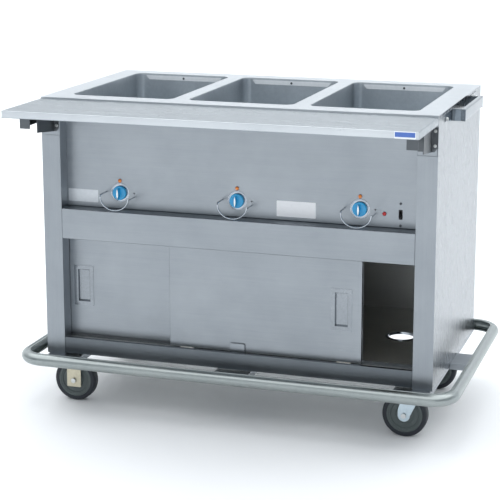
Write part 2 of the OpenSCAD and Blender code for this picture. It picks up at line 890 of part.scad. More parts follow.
module push_bar_arms() {
    x0 = body_w / 2;
    x1 = x0 + handle_off - handle_edge - seam;
    x2 = x0 + handle_off - handle_t - seam;
    y = -handle_l / 2;
    top = handle_z + handle_h;
    inner = handle_t + seam;
    color(dark_steel) for (s = [-1, 1]) translate([0, ym, 0]) mirror([0, s > 0 ? 1 : 0, 0]) {
        // Web with its edges turned in, and a tongue inside the bar
        block([x0, y, handle_z], [x1, y + handle_t, top]);
        for (z = [handle_z, top - handle_t])
            block([x0, y, z], [x1, y + handle_edge, z + handle_t]);
        block([x1 - eps, y, handle_z + inner], [x2, y + handle_t, top - inner]);
        // Bolted foot, lying on the end panel
        translate([x0, 0, 0]) rotate([90, 0, 90]) linear_extrude(sheet) difference() {
            polygon([[y + handle_t, handle_z], [y + handle_t, top], [y - handle_foot, top],
                [y - handle_foot, handle_z + handle_foot_rise]]);
            translate([y - handle_foot + handle_bolt_in, handle_bolt_z]) circle(d = handle_hole);
        }
    }
}

// ---- Bolts ----

bracket_head = [9, 4];
handle_head = [11, 5];
bumper_head = [7, 2];
bumper_bolt_y = body_d / 2 + bumper_out - bumper_d / 2 - bumper_h / 4;

module frame_bolts() {
    color([0.72, 0.74, 0.76]) {
        for (x = bracket_x, b = bracket_bolts)
            bar_y(x + foot_bolt_x, bracket_y - bracket_t - bracket_head[1], bracket_z - b,
                bracket_head[0], bracket_head[1]);
        for (s = [-1, 1])
            bar_x(body_w / 2 + sheet, ym + s * (handle_l / 2 + handle_foot - handle_bolt_in),
                handle_bolt_z, handle_head[0], handle_head[1]);
        // Caster plate nuts, under the plates
        for (x = [rigid_x, swivel_x], y = caster_y, px = [-1, 1], py = [-1, 1])
            translate([x + px * plate_hole_x, y + py * plate_hole_y, plate_z - bolt_head_h])
                cylinder(d = bolt_head_d, h = bolt_head_h);
        // Bolts that hold the bumper to the channel ends, heads under its lower lip
        for (x = channel_x, s = [-1, 1])
            translate([x, ym + s * bumper_bolt_y, bumper_z - bumper_h / 2 - bumper_head[1]])
                cylinder(d = bumper_head[0], h = bumper_head[1]);
    }
}

// ---- Base ----

caster_y = [yf + caster_deep, yb - caster_deep];

// Inverted channel along Y, around x = 0, from y0 to y1
module channel(y0, y1) {
    translate([0, y1, base_z]) rotate([90, 0, 0]) linear_extrude(y1 - y0) {
        translate([-channel_w / 2, -channel_t]) square([channel_w, channel_t]);
        for (x = [-channel_w / 2, channel_w / 2 - channel_t])
            translate([x, -channel_h]) square([channel_t, channel_h]);
    }
}

module base_channels() {
    color(steel) {
        for (x = channel_x) translate([x, 0, 0]) channel(yf - channel_end, yb + channel_end);
        // Short channels out to the ends of the bumper
        for (s = [-1, 1]) translate([0, ym, 0]) rotate([0, 0, -s * 90])
            channel(body_w / 2 - channel_in + channel_w / 2 + seam, body_w / 2 + channel_end);
    }
}

// Section of the bumper: open towards the cabinet at u = 0, round at u = bumper_d
module bumper_section() {
    r = bumper_h / 2;
    intersection() {
        translate([0, -r]) square([bumper_d, 2 * r]);
        difference() {
            union() {
                translate([bumper_d - r, 0]) circle(r);
                translate([0, -r]) square([bumper_d - r, 2 * r]);
            }
            translate([bumper_d - r, 0]) circle(r - bumper_t);
            translate([-1, bumper_t - r]) square([bumper_d - r + 1, 2 * (r - bumper_t)]);
        }
    }
}

module bumper_side(length) {
    rotate([90, 0, 0]) translate([0, 0, -length / 2]) linear_extrude(length) bumper_section();
}

module bumper_rail() {
    hx = body_w / 2 + bumper_out;
    hy = body_d / 2 + bumper_out;
    in_r = bumper_r - bumper_d;
    color([0.70, 0.75, 0.75]) translate([0, ym, bumper_z]) {
        for (s = [-1, 1]) {
            translate([s * (hx - bumper_d), 0, 0]) rotate([0, 0, s > 0 ? 0 : 180])
                bumper_side(2 * (hy - bumper_r));
            translate([0, s * (hy - bumper_d), 0]) rotate([0, 0, s * 90])
                bumper_side(2 * (hx - bumper_r));
        }
        for (a = [0 : 3])
            translate([(a == 0 || a == 3 ? 1 : -1) * (hx - bumper_r), (a < 2 ? 1 : -1) * (hy - bumper_r), 0])
                rotate([0, 0, a * 90]) rotate_extrude(angle = 90) translate([in_r, 0]) bumper_section();
    }
}

// ---- Casters ----

// Four-hole plate, around the origin, its top at caster_h
module caster_plate() {
    translate([0, 0, plate_z]) linear_extrude(fork_t) difference() {
        round_rect(plate_w, plate_l, plate_r);
        for (x = [-1, 1], y = [-1, 1]) translate([x * plate_hole_x, y * plate_hole_y])
            circle(d = plate_hole_d);
    }
}

rigid_leg_w = 44;
leg_end = 20;

module rigid_fork() {
    difference() {
        union() {
            caster_plate();
            for (y = [-leg_y - fork_t, leg_y]) translate([0, y, 0])
                block([-rigid_leg_w / 2, 0, axle_z - leg_end], [rigid_leg_w / 2, fork_t, plate_z + eps]);
        }
        bar_y(0, -leg_y - 2 * fork_t, axle_z, axle_d + 2 * run_gap, 2 * leg_y + 4 * fork_t);
    }
}

module rigid_caster_forks() {
    color([0.74, 0.72, 0.62]) for (y = caster_y) translate([rigid_x, y, 0]) rigid_fork();
}

// Axle bolt with head and nut, around the wheel's middle
module axle() {
    half = leg_y + fork_t;
    bar_y(0, -half, axle_z, axle_d, 2 * half);
    bar_y(0, -half - axle_head_h, axle_z, axle_head_d, axle_head_h);
    bar_y(0, half, axle_z, axle_head_d, axle_head_h);
}

module rigid_caster_axles() {
    color(zinc) for (y = caster_y) translate([rigid_x, y, 0]) axle();
}

module swivel_plate() {
    caster_plate();
    translate([0, 0, plate_z - race_h]) cylinder(d = race_d, h = race_h + eps);
    // Kingpin and its head under the fork's crown
    translate([0, 0, crown_z - crown_gap - kingpin_head_h]) {
        cylinder(d = kingpin_d, h = plate_z - crown_z);
        cylinder(d = kingpin_head_d, h = kingpin_head_h);
    }
}

module swivel_caster_plates() {
    color(zinc) for (y = caster_y) translate([swivel_x, y, 0]) swivel_plate();
}

crown_r = 28;
leg_back = 8;
leg_top = 44;
leg_eye = 17;

// Raked fork; the axle trails towards -X
module swivel_fork(y) {
    color([0.66, 0.74, 0.78]) translate([swivel_x, y, 0]) difference() {
        union() {
            translate([0, 0, crown_z]) cylinder(r = crown_r, h = fork_t);
            block([-crown_r, -leg_y - fork_t, crown_z], [0, leg_y + fork_t, crown_z + fork_t]);
            for (s = [-1, 1]) translate([0, s * (leg_y + fork_t / 2) + fork_t / 2, 0]) rotate([90, 0, 0])
                linear_extrude(fork_t) {
                    polygon([[-crown_r - leg_back, crown_z + fork_t], [leg_top - crown_r, crown_z + fork_t],
                        [leg_eye - trail, axle_z], [-leg_eye - trail, axle_z],
                        [-leg_eye - trail, axle_z + leg_eye]]);
                    translate([-trail, axle_z]) circle(leg_eye);
                }
        }
        bar_y(-trail, -leg_y - 2 * fork_t, axle_z, axle_d + 2 * run_gap, 2 * leg_y + 4 * fork_t);
        translate([0, 0, crown_z - 1]) cylinder(d = kingpin_d + 2 * run_gap, h = fork_t + 2);
    }
}

module front_swivel_fork() { swivel_fork(caster_y[0]); }

module rear_swivel_fork() { swivel_fork(caster_y[1]); }

module front_swivel_axle() { color(zinc) translate([swivel_x - trail, caster_y[0], 0]) axle(); }

module rear_swivel_axle() { color(zinc) translate([swivel_x - trail, caster_y[1], 0]) axle(); }

dish = 7;
hub_boss = 22;
hub_rim = 5;
hub_rim_in = 1;
tyre_round = 5;

// Wheel hub: boss, dished web and rim
module hub(x, y) {
    rim_r = wheel_d / 2 - tyre_t;
    color([0.38, 0.42, 0.42]) translate([x, y, axle_z]) rotate([90, 0, 0]) rotate_extrude() {
        translate([axle_d / 2 + run_gap, -hub_w / 2]) square([hub_boss - axle_d / 2 - run_gap, hub_w]);
        translate([hub_boss - 1, -wheel_w / 2 + dish]) square([rim_r - hub_boss + 1, wheel_w - 2 * dish]);
        translate([rim_r - hub_rim, -wheel_w / 2 + hub_rim_in])
            square([hub_rim, wheel_w - 2 * hub_rim_in]);
    }
}

// Tyre with rounded shoulders
module tyre(x, y) {
    rim_r = wheel_d / 2 - tyre_t;
    color([0.14, 0.16, 0.19]) translate([x, y, axle_z]) rotate([90, 0, 0]) rotate_extrude() {
        translate([rim_r, -wheel_w / 2]) square([tyre_t - tyre_round, wheel_w]);
        translate([rim_r, -wheel_w / 2 + tyre_round]) square([tyre_t, wheel_w - 2 * tyre_round]);
        for (s = [-1, 1])
            translate([wheel_d / 2 - tyre_round, s * (wheel_w / 2 - tyre_round)]) circle(tyre_round);
    }
}

module front_left_hub() { hub(rigid_x, caster_y[0]); }

module rear_left_hub() { hub(rigid_x, caster_y[1]); }

module front_right_hub() { hub(swivel_x - trail, caster_y[0]); }

module rear_right_hub() { hub(swivel_x - trail, caster_y[1]); }

module front_left_tyre() { tyre(rigid_x, caster_y[0]); }

module rear_left_tyre() { tyre(rigid_x, caster_y[1]); }

module front_right_tyre() { tyre(swivel_x - trail, caster_y[0]); }

module rear_right_tyre() { tyre(swivel_x - trail, caster_y[1]); }

deck();
well_liner(-well_pitch);  // well_liner_1
well_liner(0);  // well_liner_2
well_liner(well_pitch);  // well_liner_3
well_trims();
panel_screws();
well_insulation();
heating_elements();
left_end_panel();
right_end_panel();
back_panel();
front_posts();
post_covers();
control_panel();
middle_rail();
bottom_rail();
cabinet_floor();
hose_grommet();
door_track();
door_guide_tab();
work_shelf();
shelf_brackets();
frame_bolts();
push_bar();
push_bar_arms();
base_channels();
bumper_rail();
rigid_caster_forks();
rigid_caster_axles();
swivel_caster_plates();
dial_plates();
knob_guards();
indicator_lamps();
control_switches();
toggle_switch();
terminal_block();
cord_gland();
blank_labels();
front_swivel_fork();
rear_swivel_fork();
front_swivel_axle();
rear_swivel_axle();
front_left_hub();
rear_left_hub();
front_right_hub();
rear_right_hub();
front_left_tyre();
rear_left_tyre();
front_right_tyre();
rear_right_tyre();
front_door();
rear_door();
front_door_pull();
rear_door_pull();
front_door_glides();
rear_door_glides();
knob(-well_pitch);  // knob_1
knob(0);  // knob_2
knob(well_pitch);  // knob_3
toggle_lever();
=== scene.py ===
import json
import math

import bmesh
import bpy
from mathutils import Matrix, Vector

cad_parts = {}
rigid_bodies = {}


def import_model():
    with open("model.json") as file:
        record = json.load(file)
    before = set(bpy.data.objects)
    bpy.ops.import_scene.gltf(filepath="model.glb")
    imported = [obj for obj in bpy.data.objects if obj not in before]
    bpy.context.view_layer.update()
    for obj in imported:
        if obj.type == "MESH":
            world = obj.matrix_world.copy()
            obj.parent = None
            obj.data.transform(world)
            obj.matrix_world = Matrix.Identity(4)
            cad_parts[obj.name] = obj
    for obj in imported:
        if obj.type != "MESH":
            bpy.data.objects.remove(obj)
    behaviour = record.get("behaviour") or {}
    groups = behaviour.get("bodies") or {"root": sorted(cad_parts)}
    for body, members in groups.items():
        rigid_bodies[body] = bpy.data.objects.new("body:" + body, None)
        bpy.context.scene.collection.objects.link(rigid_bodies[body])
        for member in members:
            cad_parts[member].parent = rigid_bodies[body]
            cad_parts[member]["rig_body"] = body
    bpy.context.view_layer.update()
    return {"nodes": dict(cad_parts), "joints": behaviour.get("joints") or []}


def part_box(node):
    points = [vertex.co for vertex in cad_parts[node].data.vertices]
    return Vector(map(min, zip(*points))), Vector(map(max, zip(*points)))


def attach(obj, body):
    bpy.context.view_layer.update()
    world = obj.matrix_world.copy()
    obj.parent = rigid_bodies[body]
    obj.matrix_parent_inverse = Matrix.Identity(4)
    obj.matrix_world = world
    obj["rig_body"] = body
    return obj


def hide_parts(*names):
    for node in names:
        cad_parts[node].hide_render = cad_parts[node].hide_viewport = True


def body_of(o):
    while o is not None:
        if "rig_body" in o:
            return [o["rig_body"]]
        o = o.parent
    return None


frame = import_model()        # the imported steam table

mm = 0.001
side, deep, up = Vector((1, 0, 0)), Vector((0, 1, 0)), Vector((0, 0, 1))
print("steam table: frame loaded,", len(frame["nodes"]), "nodes")


class Wire:  # one output socket, with arithmetic that adds Math nodes
    def __init__(self, tree, socket=None):
        self.tree, self.socket = tree, socket

    def add(self, kind, settings=None, values=None, out=0):
        node = self.tree.nodes.new(kind)
        for key, value in (settings or {}).items():
            setattr(node, key, value)
        for key, value in (values or {}).items():
            if isinstance(value, Wire):
                self.tree.links.new(value.socket, node.inputs[key])
            else:
                node.inputs[key].default_value = value
        return Wire(self.tree, node.outputs[out])

    def maths(self, operation, *terms):
        return self.add("ShaderNodeMath", {"operation": operation}, dict(enumerate(terms)))

    def __add__(self, other):
        return self.maths("ADD", self, other)

    def __radd__(self, other):
        return self.maths("ADD", other, self)

    def __sub__(self, other):
        return self.maths("SUBTRACT", self, other)

    def __rsub__(self, other):
        return self.maths("SUBTRACT", other, self)

    def __mul__(self, other):
        return self.maths("MULTIPLY", self, other)

    def __rmul__(self, other):
        return self.maths("MULTIPLY", other, self)

    def __gt__(self, other):
        return self.maths("GREATER_THAN", self, other)

    def __lt__(self, other):
        return self.maths("LESS_THAN", self, other)

    def blend(self, first, second):  # this wire is the factor between two colours
        return self.add("ShaderNodeMix", {"data_type": "RGBA"}, {0: self, 6: first, 7: second}, 2)

    def spread(self, low, high):
        return self.add("ShaderNodeMapRange", {}, {"Value": self, "From Min": low, "From Max": high})

    def scaled(self, scale):
        return self.add("ShaderNodeMapping", {}, {"Vector": self, "Scale": scale})

    def noise(self, scale, detail=2.0, rough=0.5):
        return self.add("ShaderNodeTexNoise", {}, {
            "Vector": self, "Scale": scale, "Detail": detail, "Roughness": rough})

    def axis(self, index):
        return self.add("ShaderNodeSeparateXYZ", {}, {0: self}, index)

    def bump(self, strength, distance):
        return self.add("ShaderNodeBump", {}, {
            "Height": self, "Strength": strength, "Distance": distance})


# recipe(place) gives what changes over the surface; fixed values go on the shader itself
def finish(name, recipe, **fixed):
    made = bpy.data.materials.new(name)
    made.use_nodes = True
    tree = made.node_tree
    shader = tree.nodes["Principled BSDF"]
    place = Wire(tree).add("ShaderNodeTexCoord", out="Object")
    for key, value in {**{k.replace("_", " "): v for k, v in fixed.items()}, **recipe(place)}.items():
        if isinstance(value, Wire):
            tree.links.new(value.socket, shader.inputs[key])
        else:
            shader.inputs[key].default_value = value
    return made


# Values of the brushed sheet; tones are how far each pattern moves the colour
brushedLook = {
    "dark": (0.255, 0.28, 0.305, 1), "light": (0.35, 0.375, 0.40, 1),
    "lineScale": 900.0, "lineLength": 60.0, "streakScale": 70.0, "streakShare": 0.5,
    "cloudScale": 5, "rubScale": 23, "relief": 0.2 * mm,
    "lineTone": 0.45, "streakTone": 0.35, "cloudTone": 0.8,
    "roughness": 0.36, "roughSpread": 0.16, "bump": 0.05,
}


# Brushed sheet; grain is the axis that the brush lines run along
def brushed(name, grain, **changes):
    look = {**brushedLook, **changes}

    def recipe(place):
        lineScale = [look["lineScale"]] * 3
        lineScale[grain] /= look["lineLength"]
        streakScale = [look["streakScale"]] * 3
        streakScale[grain] /= look["lineLength"] * look["streakShare"]
        lines = place.scaled(lineScale).noise(1, 3, 0.65)
        streaks = place.scaled(streakScale).noise(1, 2)
        clouds = place.noise(look["cloudScale"], 4, 0.6)
        rubs = place.noise(look["rubScale"], 5, 0.7)
        tone = (lines - 0.5) * look["lineTone"] + (streaks - 0.5) * look["streakTone"]
        tone = tone + (clouds - 0.5) * look["cloudTone"] + 0.5
        rough = (lines - 0.5) * look["roughSpread"] + (rubs - 0.5) * look["roughSpread"] + look["roughness"]
        return {
            "Base Color": tone.spread(0.15, 0.85).blend(look["dark"], look["light"]),
            "Roughness": rough + (streaks - 0.5) * look["roughSpread"],
            "Normal": (lines * 0.6 + streaks * 0.4).bump(look["bump"], look["relief"]),
        }
    return finish(name, recipe, Metallic=1.0)


# Plated, cast or drawn metal with a fine mottle instead of brush lines
def mottled(name, dark, light, roughness, metallic=1.0, scale=140.0, bump=0.08, **fixed):
    def recipe(place):
        grains = place.noise(scale, 4, 0.6)
        clouds = place.noise(scale / 14, 3, 0.55)
        marks = place.noise(scale * 3, 2, 0.5)
        tone = (grains - 0.5) * 0.8 + (clouds - 0.5) * 1.1 + 0.5
        return {
            "Base Color": tone.spread(0.1, 0.9).blend(dark, light),
            "Roughness": (clouds - 0.5) * 0.22 + (marks - 0.5) * 0.14 + roughness,
            "Normal": (grains * 0.7 + marks * 0.3).bump(bump, 0.2 * mm),
        }
    return finish(name, recipe, Metallic=metallic, **fixed)


# Moulded plastic or rubber with a fine texture and scuffs that catch dust
def moulded(name, colour, scuffed, roughness, scale=700.0, bump=0.1, **fixed):
    def recipe(place):
        texture = place.noise(scale, 3, 0.6)
        scuffs = place.noise(38, 6, 0.72).spread(0.55, 0.75)
        clouds = place.noise(9, 3)
        return {
            "Base Color": (scuffs * 0.55 + (clouds - 0.5) * 0.5 + 0.1).spread(0, 1).blend(colour, scuffed),
            "Roughness": scuffs * 0.14 + (texture - 0.5) * 0.12 + roughness,
            "Normal": texture.bump(bump, 0.15 * mm),
        }
    return finish(name, recipe, **fixed)


steelAlong = brushed("brushed steel, grain along", 0)
steelUpright = brushed("brushed steel, grain upright", 2)
# A lighter copy of the sheet steel: painted light on the deck top, and through the shelf's front look on the
# shelf's forward faces
steelDeckPaintedLight = brushed("deck steel, painted light", 0, dark=(0.48, 0.51, 0.535, 1), light=(0.61, 0.64, 0.665, 1),
                    roughness=0.33)
# A darker copy of the sheet steel for the end panels: painted shade that sets how dark the sides look
steelEndPaintedShade = brushed("end panel steel, painted shade", 2, dark=(0.22, 0.24, 0.26, 1), light=(0.28, 0.30, 0.32, 1),
                   roughness=0.27, roughSpread=0.06, lineTone=0.3, streakTone=0.2, cloudTone=0.35, bump=0.02)
# A darker copy of the sheet steel for the shelf top: painted shade that keeps the top darker than the shelf's
# front edge
steelShelfPaintedShade = brushed("shelf steel, painted shade", 0, dark=(0.24, 0.27, 0.295, 1), light=(0.31, 0.345, 0.37, 1),
                     roughness=0.3, streakTone=0.3)
# A much lighter copy of the sheet steel for the back panel and cabinet floor: painted light standing in for
# light that does not reach inside the cabinet
steelInsidePaintedLight = brushed("inside steel, painted light", 0, dark=(0.66, 0.67, 0.66, 1), light=(0.80, 0.81, 0.795, 1),
                      roughness=0.46)
# A much darker copy of the sheet steel for the bottom rail: painted shade low under the cabinet
steelBasePaintedShade = brushed("lower rail steel, painted shade", 0, dark=(0.12, 0.135, 0.15, 1), light=(0.18, 0.20, 0.215, 1))
steelDark = brushed("shaded steel", 0, dark=(0.09, 0.10, 0.11, 1), light=(0.15, 0.16, 0.17, 1),
                    roughness=0.42)
steelTrim = mottled("trim steel", (0.74, 0.77, 0.79, 1), (0.88, 0.90, 0.92, 1), 0.38, metallic=0.3, scale=90)
# A dark copy of steel for the push bar and its arms: painted shade for the handle's shadowed, dark-reflecting
# faces
handleSteelPaintedShade = mottled("handle steel, painted shade", (0.13, 0.155, 0.18, 1), (0.18, 0.21, 0.24, 1), 0.16,
                      scale=60, bump=0.03)
linerSteel = mottled("drawn liner steel", (0.50, 0.54, 0.575, 1), (0.64, 0.68, 0.71, 1), 0.36, scale=90)
polishedSteel = mottled("polished steel", (0.40, 0.43, 0.47, 1), (0.52, 0.56, 0.60, 1), 0.13,
                        scale=60, bump=0.03)
bumperSteel = mottled("bumper steel", (0.29, 0.32, 0.32, 1), (0.37, 0.40, 0.395, 1), 0.34,
                      scale=80, bump=0.05)
boltZinc = mottled("zinc bolts", (0.50, 0.51, 0.50, 1), (0.70, 0.72, 0.72, 1), 0.32, scale=320)
zincYellow = mottled("yellow zinc", (0.42, 0.39, 0.28, 1), (0.62, 0.58, 0.46, 1), 0.36, scale=120)
zincBlue = mottled("blue zinc", (0.46, 0.55, 0.60, 1), (0.64, 0.74, 0.80, 1), 0.34, scale=120)
sheathSteel = mottled("element sheath", (0.10, 0.09, 0.085, 1), (0.24, 0.20, 0.17, 1), 0.5, scale=220)
woolYellow = mottled("glass wool", (0.62, 0.52, 0.26, 1), (0.86, 0.79, 0.52, 1), 0.95, metallic=0.0,
                     scale=160, bump=0.9)
blackPlastic = moulded("black plastic", (0.012, 0.012, 0.014, 1), (0.06, 0.06, 0.065, 1), 0.42)
knobPlastic = moulded("blue knob plastic", (0.012, 0.36, 0.70, 1), (0.06, 0.46, 0.76, 1), 0.34, bump=0.04,
                      Coat_Weight=0.25, Coat_Roughness=0.15)
knobInlay = mottled("knob inlay", (0.70, 0.74, 0.76, 1), (0.88, 0.91, 0.92, 1), 0.25, metallic=0.6, scale=200)
hubPolymer = moulded("wheel hub polymer", (0.075, 0.095, 0.095, 1), (0.15, 0.17, 0.165, 1), 0.48)
tyreRubber = moulded("tyre rubber", (0.010, 0.014, 0.022, 1), (0.045, 0.05, 0.058, 1), 0.58,
                     scale=500, bump=0.2)
glideNylon = moulded("nylon", (0.72, 0.71, 0.66, 1), (0.50, 0.48, 0.42, 1), 0.45,
                     Subsurface_Weight=0.1, Subsurface_Scale=2 * mm)
labelWhite = moulded("white label film", (0.92, 0.93, 0.95, 1), (0.82, 0.83, 0.85, 1), 0.4, bump=0.03)
labelSilver = mottled("silver label film", (0.50, 0.53, 0.56, 1), (0.62, 0.65, 0.68, 1), 0.4, metallic=0.7)


# A lamp jewel: lit plastic with radial facets cut inside it
def jewel(name, deepColour, brightColour, glow):
    def recipe(place):
        cuts = place.noise(900, 2, 0.4)
        wash = place.noise(160, 2)
        colour = (cuts * 0.6 + wash * 0.4).spread(0.3, 0.7).blend(deepColour, brightColour)
        return {"Base Color": colour, "Emission Color": colour,
                "Roughness": cuts * 0.15 + 0.12, "Normal": cuts.bump(0.35, 0.3 * mm)}
    return finish(name, recipe, Emission_Strength=glow, Coat_Weight=0.6, Coat_Roughness=0.08)


jewelAmber = jewel("amber jewel", (0.40, 0.09, 0.012, 1), (0.85, 0.26, 0.03, 1), 0.25)
jewelRed = jewel("red jewel", (0.25, 0.006, 0.006, 1), (0.62, 0.02, 0.02, 1), 0.25)


# The blank sticker on the shelf's edge: blue over a white strip, with a white border
def stickerFilm(low, high, look):
    def recipe(place):
        across, height = place.axis(0), place.axis(2)
        blue = (height > low.z + look["strip"]) * (height < high.z - look["border"])
        blue = blue * (across > low.x + look["border"]) * (across < high.x - look["border"])
        worn = place.noise(220, 4, 0.6)
        colour = blue.blend(look["white"], worn.blend(look["blue"], look["faded"]))
        return {"Base Color": colour, "Roughness": worn * 0.2 + 0.32, "Normal": worn.bump(0.04, 0.1 * mm)}
    return finish("shelf sticker film", recipe)


print("finishes ready")


def bodyOf(node):
    return body_of(frame["nodes"][node])[0]


# Each piece stands in for one CAD node; crease is the angle past which shading stays sharp
def newPiece(name, shape, body, looks, node, crease=35, wall=0):
    mesh = bpy.data.meshes.new(name)
    shape.to_mesh(mesh)
    shape.free()
    for look in looks if isinstance(looks, (list, tuple)) else [looks]:
        mesh.materials.append(look)
    mesh.shade_smooth()
    mesh.set_sharp_from_angle(angle=math.radians(crease))
    piece = bpy.data.objects.new(name, mesh)
    bpy.context.scene.collection.objects.link(piece)
    if wall:
        sheet = piece.modifiers.new("sheet thickness", "SOLIDIFY")
        sheet.thickness, sheet.offset = wall, -1
    shading = piece.modifiers.new("even shading", "WEIGHTED_NORMAL")
    shading.keep_sharp = True
    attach(piece, body)
    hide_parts(node)


def edgesOf(verts):
    return list(dict.fromkeys(e for v in verts for e in v.link_edges))


def bevelEdges(shape, edges, width, segments=2):
    if edges:
        bmesh.ops.bevel(shape, geom=edges, offset=width, offset_type="OFFSET", segments=segments,
                        profile=0.5, affect="EDGES", material=-1, clamp_overlap=False)


def bevelCorners(shape, corners, width, segments=4):
    bmesh.ops.bevel(shape, geom=corners, offset=width, offset_type="OFFSET", segments=segments,
                    profile=0.5, affect="VERTICES", material=-1, clamp_overlap=True)


def sharpEdges(shape, angle=40):
    return [e for e in shape.edges if len(e.link_faces) == 2 and e.calc_face_angle(0) > math.radians(angle)]


# How far a face reaches away from one of its edges
def reach(face, edge):
    start = edge.verts[0].co
    along = (edge.verts[1].co - start).normalized()
    return max(((v.co - start) - along * (v.co - start).dot(along)).length for v in face.verts)


# A CAD node's mesh, merged, with its flat faces joined if asked
def merged(node, joined=True):
    shape = bmesh.new()
    shape.from_mesh(frame["nodes"][node].data)
    bmesh.ops.remove_doubles(shape, verts=shape.verts, dist=0.01 * mm)
    if joined:
        bmesh.ops.dissolve_limit(shape, angle_limit=math.radians(0.6), verts=shape.verts, edges=shape.edges)
    return shape


def bisected(shape, cuts):
    for spot, heading in cuts:
        geom = list(shape.verts) + list(shape.edges) + list(shape.faces)
        bmesh.ops.bisect_plane(shape, geom=geom, dist=0.001 * mm, plane_co=spot, plane_no=heading)


# Keeps every corner inside the CAD node's box
def kept(shape, node):
    low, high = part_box(node)
    for vert in shape.verts:
        vert.co = [min(max(c, a), b) for c, a, b in zip(vert.co, low, high)]


# True when no face folds over itself
def unfolded(shape):
    flat = sum(f.calc_area() for f in shape.faces)
    cut = sum((b.vert.co - a.vert.co).cross(c.vert.co - a.vert.co).length / 2
              for a, b, c in shape.calc_loop_triangles())
    return abs(cut - flat) < sheetEdges["folded"] * flat


# A bend runs where two faces both reach farther than wide. The tries are a share of the wanted
# widths and whether flat faces are joined first, and the first that does not fold is kept.
sheetEdges = {"wide": 4.0 * mm, "folded": 0.001, "forwards": -0.5,
              "tries": ((1.0, True), (0.6, True), (0.5, False), (0.25, False), (0.0, False))}


# The CAD shape with round bends and eased rims; front, when given, is a lighter look put on the faces that
# look forwards, painted light
def refined(node, look, rim=0.4 * mm, bend=1.6 * mm, steps=3, cuts=(), front=None):
    for part, joined in sheetEdges["tries"]:
        shape = merged(node, joined)
        bisected(shape, cuts)
        bends = [e for e in sharpEdges(shape) if min(reach(f, e) for f in e.link_faces) > sheetEdges["wide"]]
        if part:
            bevelEdges(shape, bends, bend * part, steps)
            bevelEdges(shape, sharpEdges(shape), rim * part)
        kept(shape, node)
        if unfolded(shape):
            break
    for face in shape.faces:  # the faces that look forwards take the second look, a lighter steel: painted light
        face.normal_update()
        face.material_index = 1 if front and face.normal.y < sheetEdges["forwards"] else 0
    looks = [look, front] if front else [look]
    newPiece(node + "_sheet", shape, bodyOf(node), looks, node)


# Lowest and highest corner of each separate solid in a node
def solidBoxes(node):
    shape = merged(node)
    left, boxes = set(shape.verts), []
    while left:
        group, edge = set(), [left.pop()]
        while edge:
            vert = edge.pop()
            group.add(vert)
            for line in vert.link_edges:
                other = line.other_vert(vert)
                if other in left:
                    left.discard(other)
                    edge.append(other)
        spots = [v.co for v in group]
        boxes.append((Vector([min(c[i] for c in spots) for i in range(3)]),
                      Vector([max(c[i] for c in spots) for i in range(3)])))
    shape.free()
    return sorted(boxes, key=lambda box: tuple(round(c, 4) for c in box[0]))


# A closed outline of (radius, height) corners, rounded, then spun about an axis
def turned(shape, outline, centre, axis, soft=0.0, steps=64, softSteps=3):
    across = axis.orthogonal().normalized()
    before = set(shape.faces)
    corners = [shape.verts.new(centre + across * r + axis * h) for r, h in outline]
    shape.faces.new(corners)
    softs = soft if isinstance(soft, (list, tuple)) else [soft] * len(outline)
    for corner, width, (radius, height) in zip(corners, softs, outline):
        if width and radius > 1e-6:
            bevelCorners(shape, [corner], width, softSteps)
    face = next(f for f in shape.faces if f not in before)
    ring = list(face.edges)
    onAxis = [e for e in ring if all((v.co - centre).cross(axis).length < 1e-7 for v in e.verts)]
    ring = [e for e in ring if e not in onAxis]
    bmesh.ops.delete(shape, geom=[face], context="FACES_ONLY")
    bmesh.ops.delete(shape, geom=onAxis, context="EDGES")
    geom = list(dict.fromkeys(v for e in ring for v in e.verts)) + ring
    bmesh.ops.spin(shape, geom=geom, cent=centre, axis=axis, angle=2 * math.pi, steps=steps, use_merge=True)
    bmesh.ops.remove_doubles(shape, verts=shape.verts, dist=0.001 * mm)
    bmesh.ops.recalc_face_normals(shape, faces=shape.faces)
    return shape


# Six-sided bolt head or nut, from its foot outwards
def hexHead(shape, foot, axis, across, height):
    turn = axis.to_track_quat("Z", "Y").to_matrix().to_4x4()
    place = Matrix.Translation(foot + axis * height / 2) @ turn
    head = bmesh.ops.create_cone(shape, cap_ends=True, cap_tris=False, segments=6, radius1=across / 2,
                                 radius2=across / 2, depth=height, matrix=place)
    edges = edgesOf(head["verts"])
    bevelEdges(shape, edges, height * 0.12, 2)


# Carries a line of edges along straight and turning moves; whoever calls it fills any open ends
def swept(shape, line, moves):
    for move in moves:
        if move[0] == "go":
            made = bmesh.ops.extrude_edge_only(shape, edges=line)["geom"]
            fresh = [g for g in made if isinstance(g, bmesh.types.BMVert)]
            bmesh.ops.translate(shape, verts=fresh, vec=move[1])
            line = [g for g in made if isinstance(g, bmesh.types.BMEdge) and set(g.verts) <= set(fresh)]
        else:
            centre, axis, angle, steps = move[1:]
            geom = line + list(dict.fromkeys(v for e in line for v in e.verts))
            made = bmesh.ops.spin(shape, geom=geom, cent=centre, axis=axis, angle=angle, steps=steps)
            line = [g for g in made["geom_last"] if isinstance(g, bmesh.types.BMEdge)]
    bmesh.ops.remove_doubles(shape, verts=shape.verts, dist=0.005 * mm)
    bmesh.ops.recalc_face_normals(shape, faces=shape.faces)


def ringOfEdges(shape, centre, heading, radius, segments):
    place = Matrix.Translation(centre) @ heading.to_track_quat("Z", "Y").to_matrix().to_4x4()
    made = bmesh.ops.create_circle(shape, cap_ends=False, segments=segments, radius=radius, matrix=place)
    return edgesOf(made["verts"])


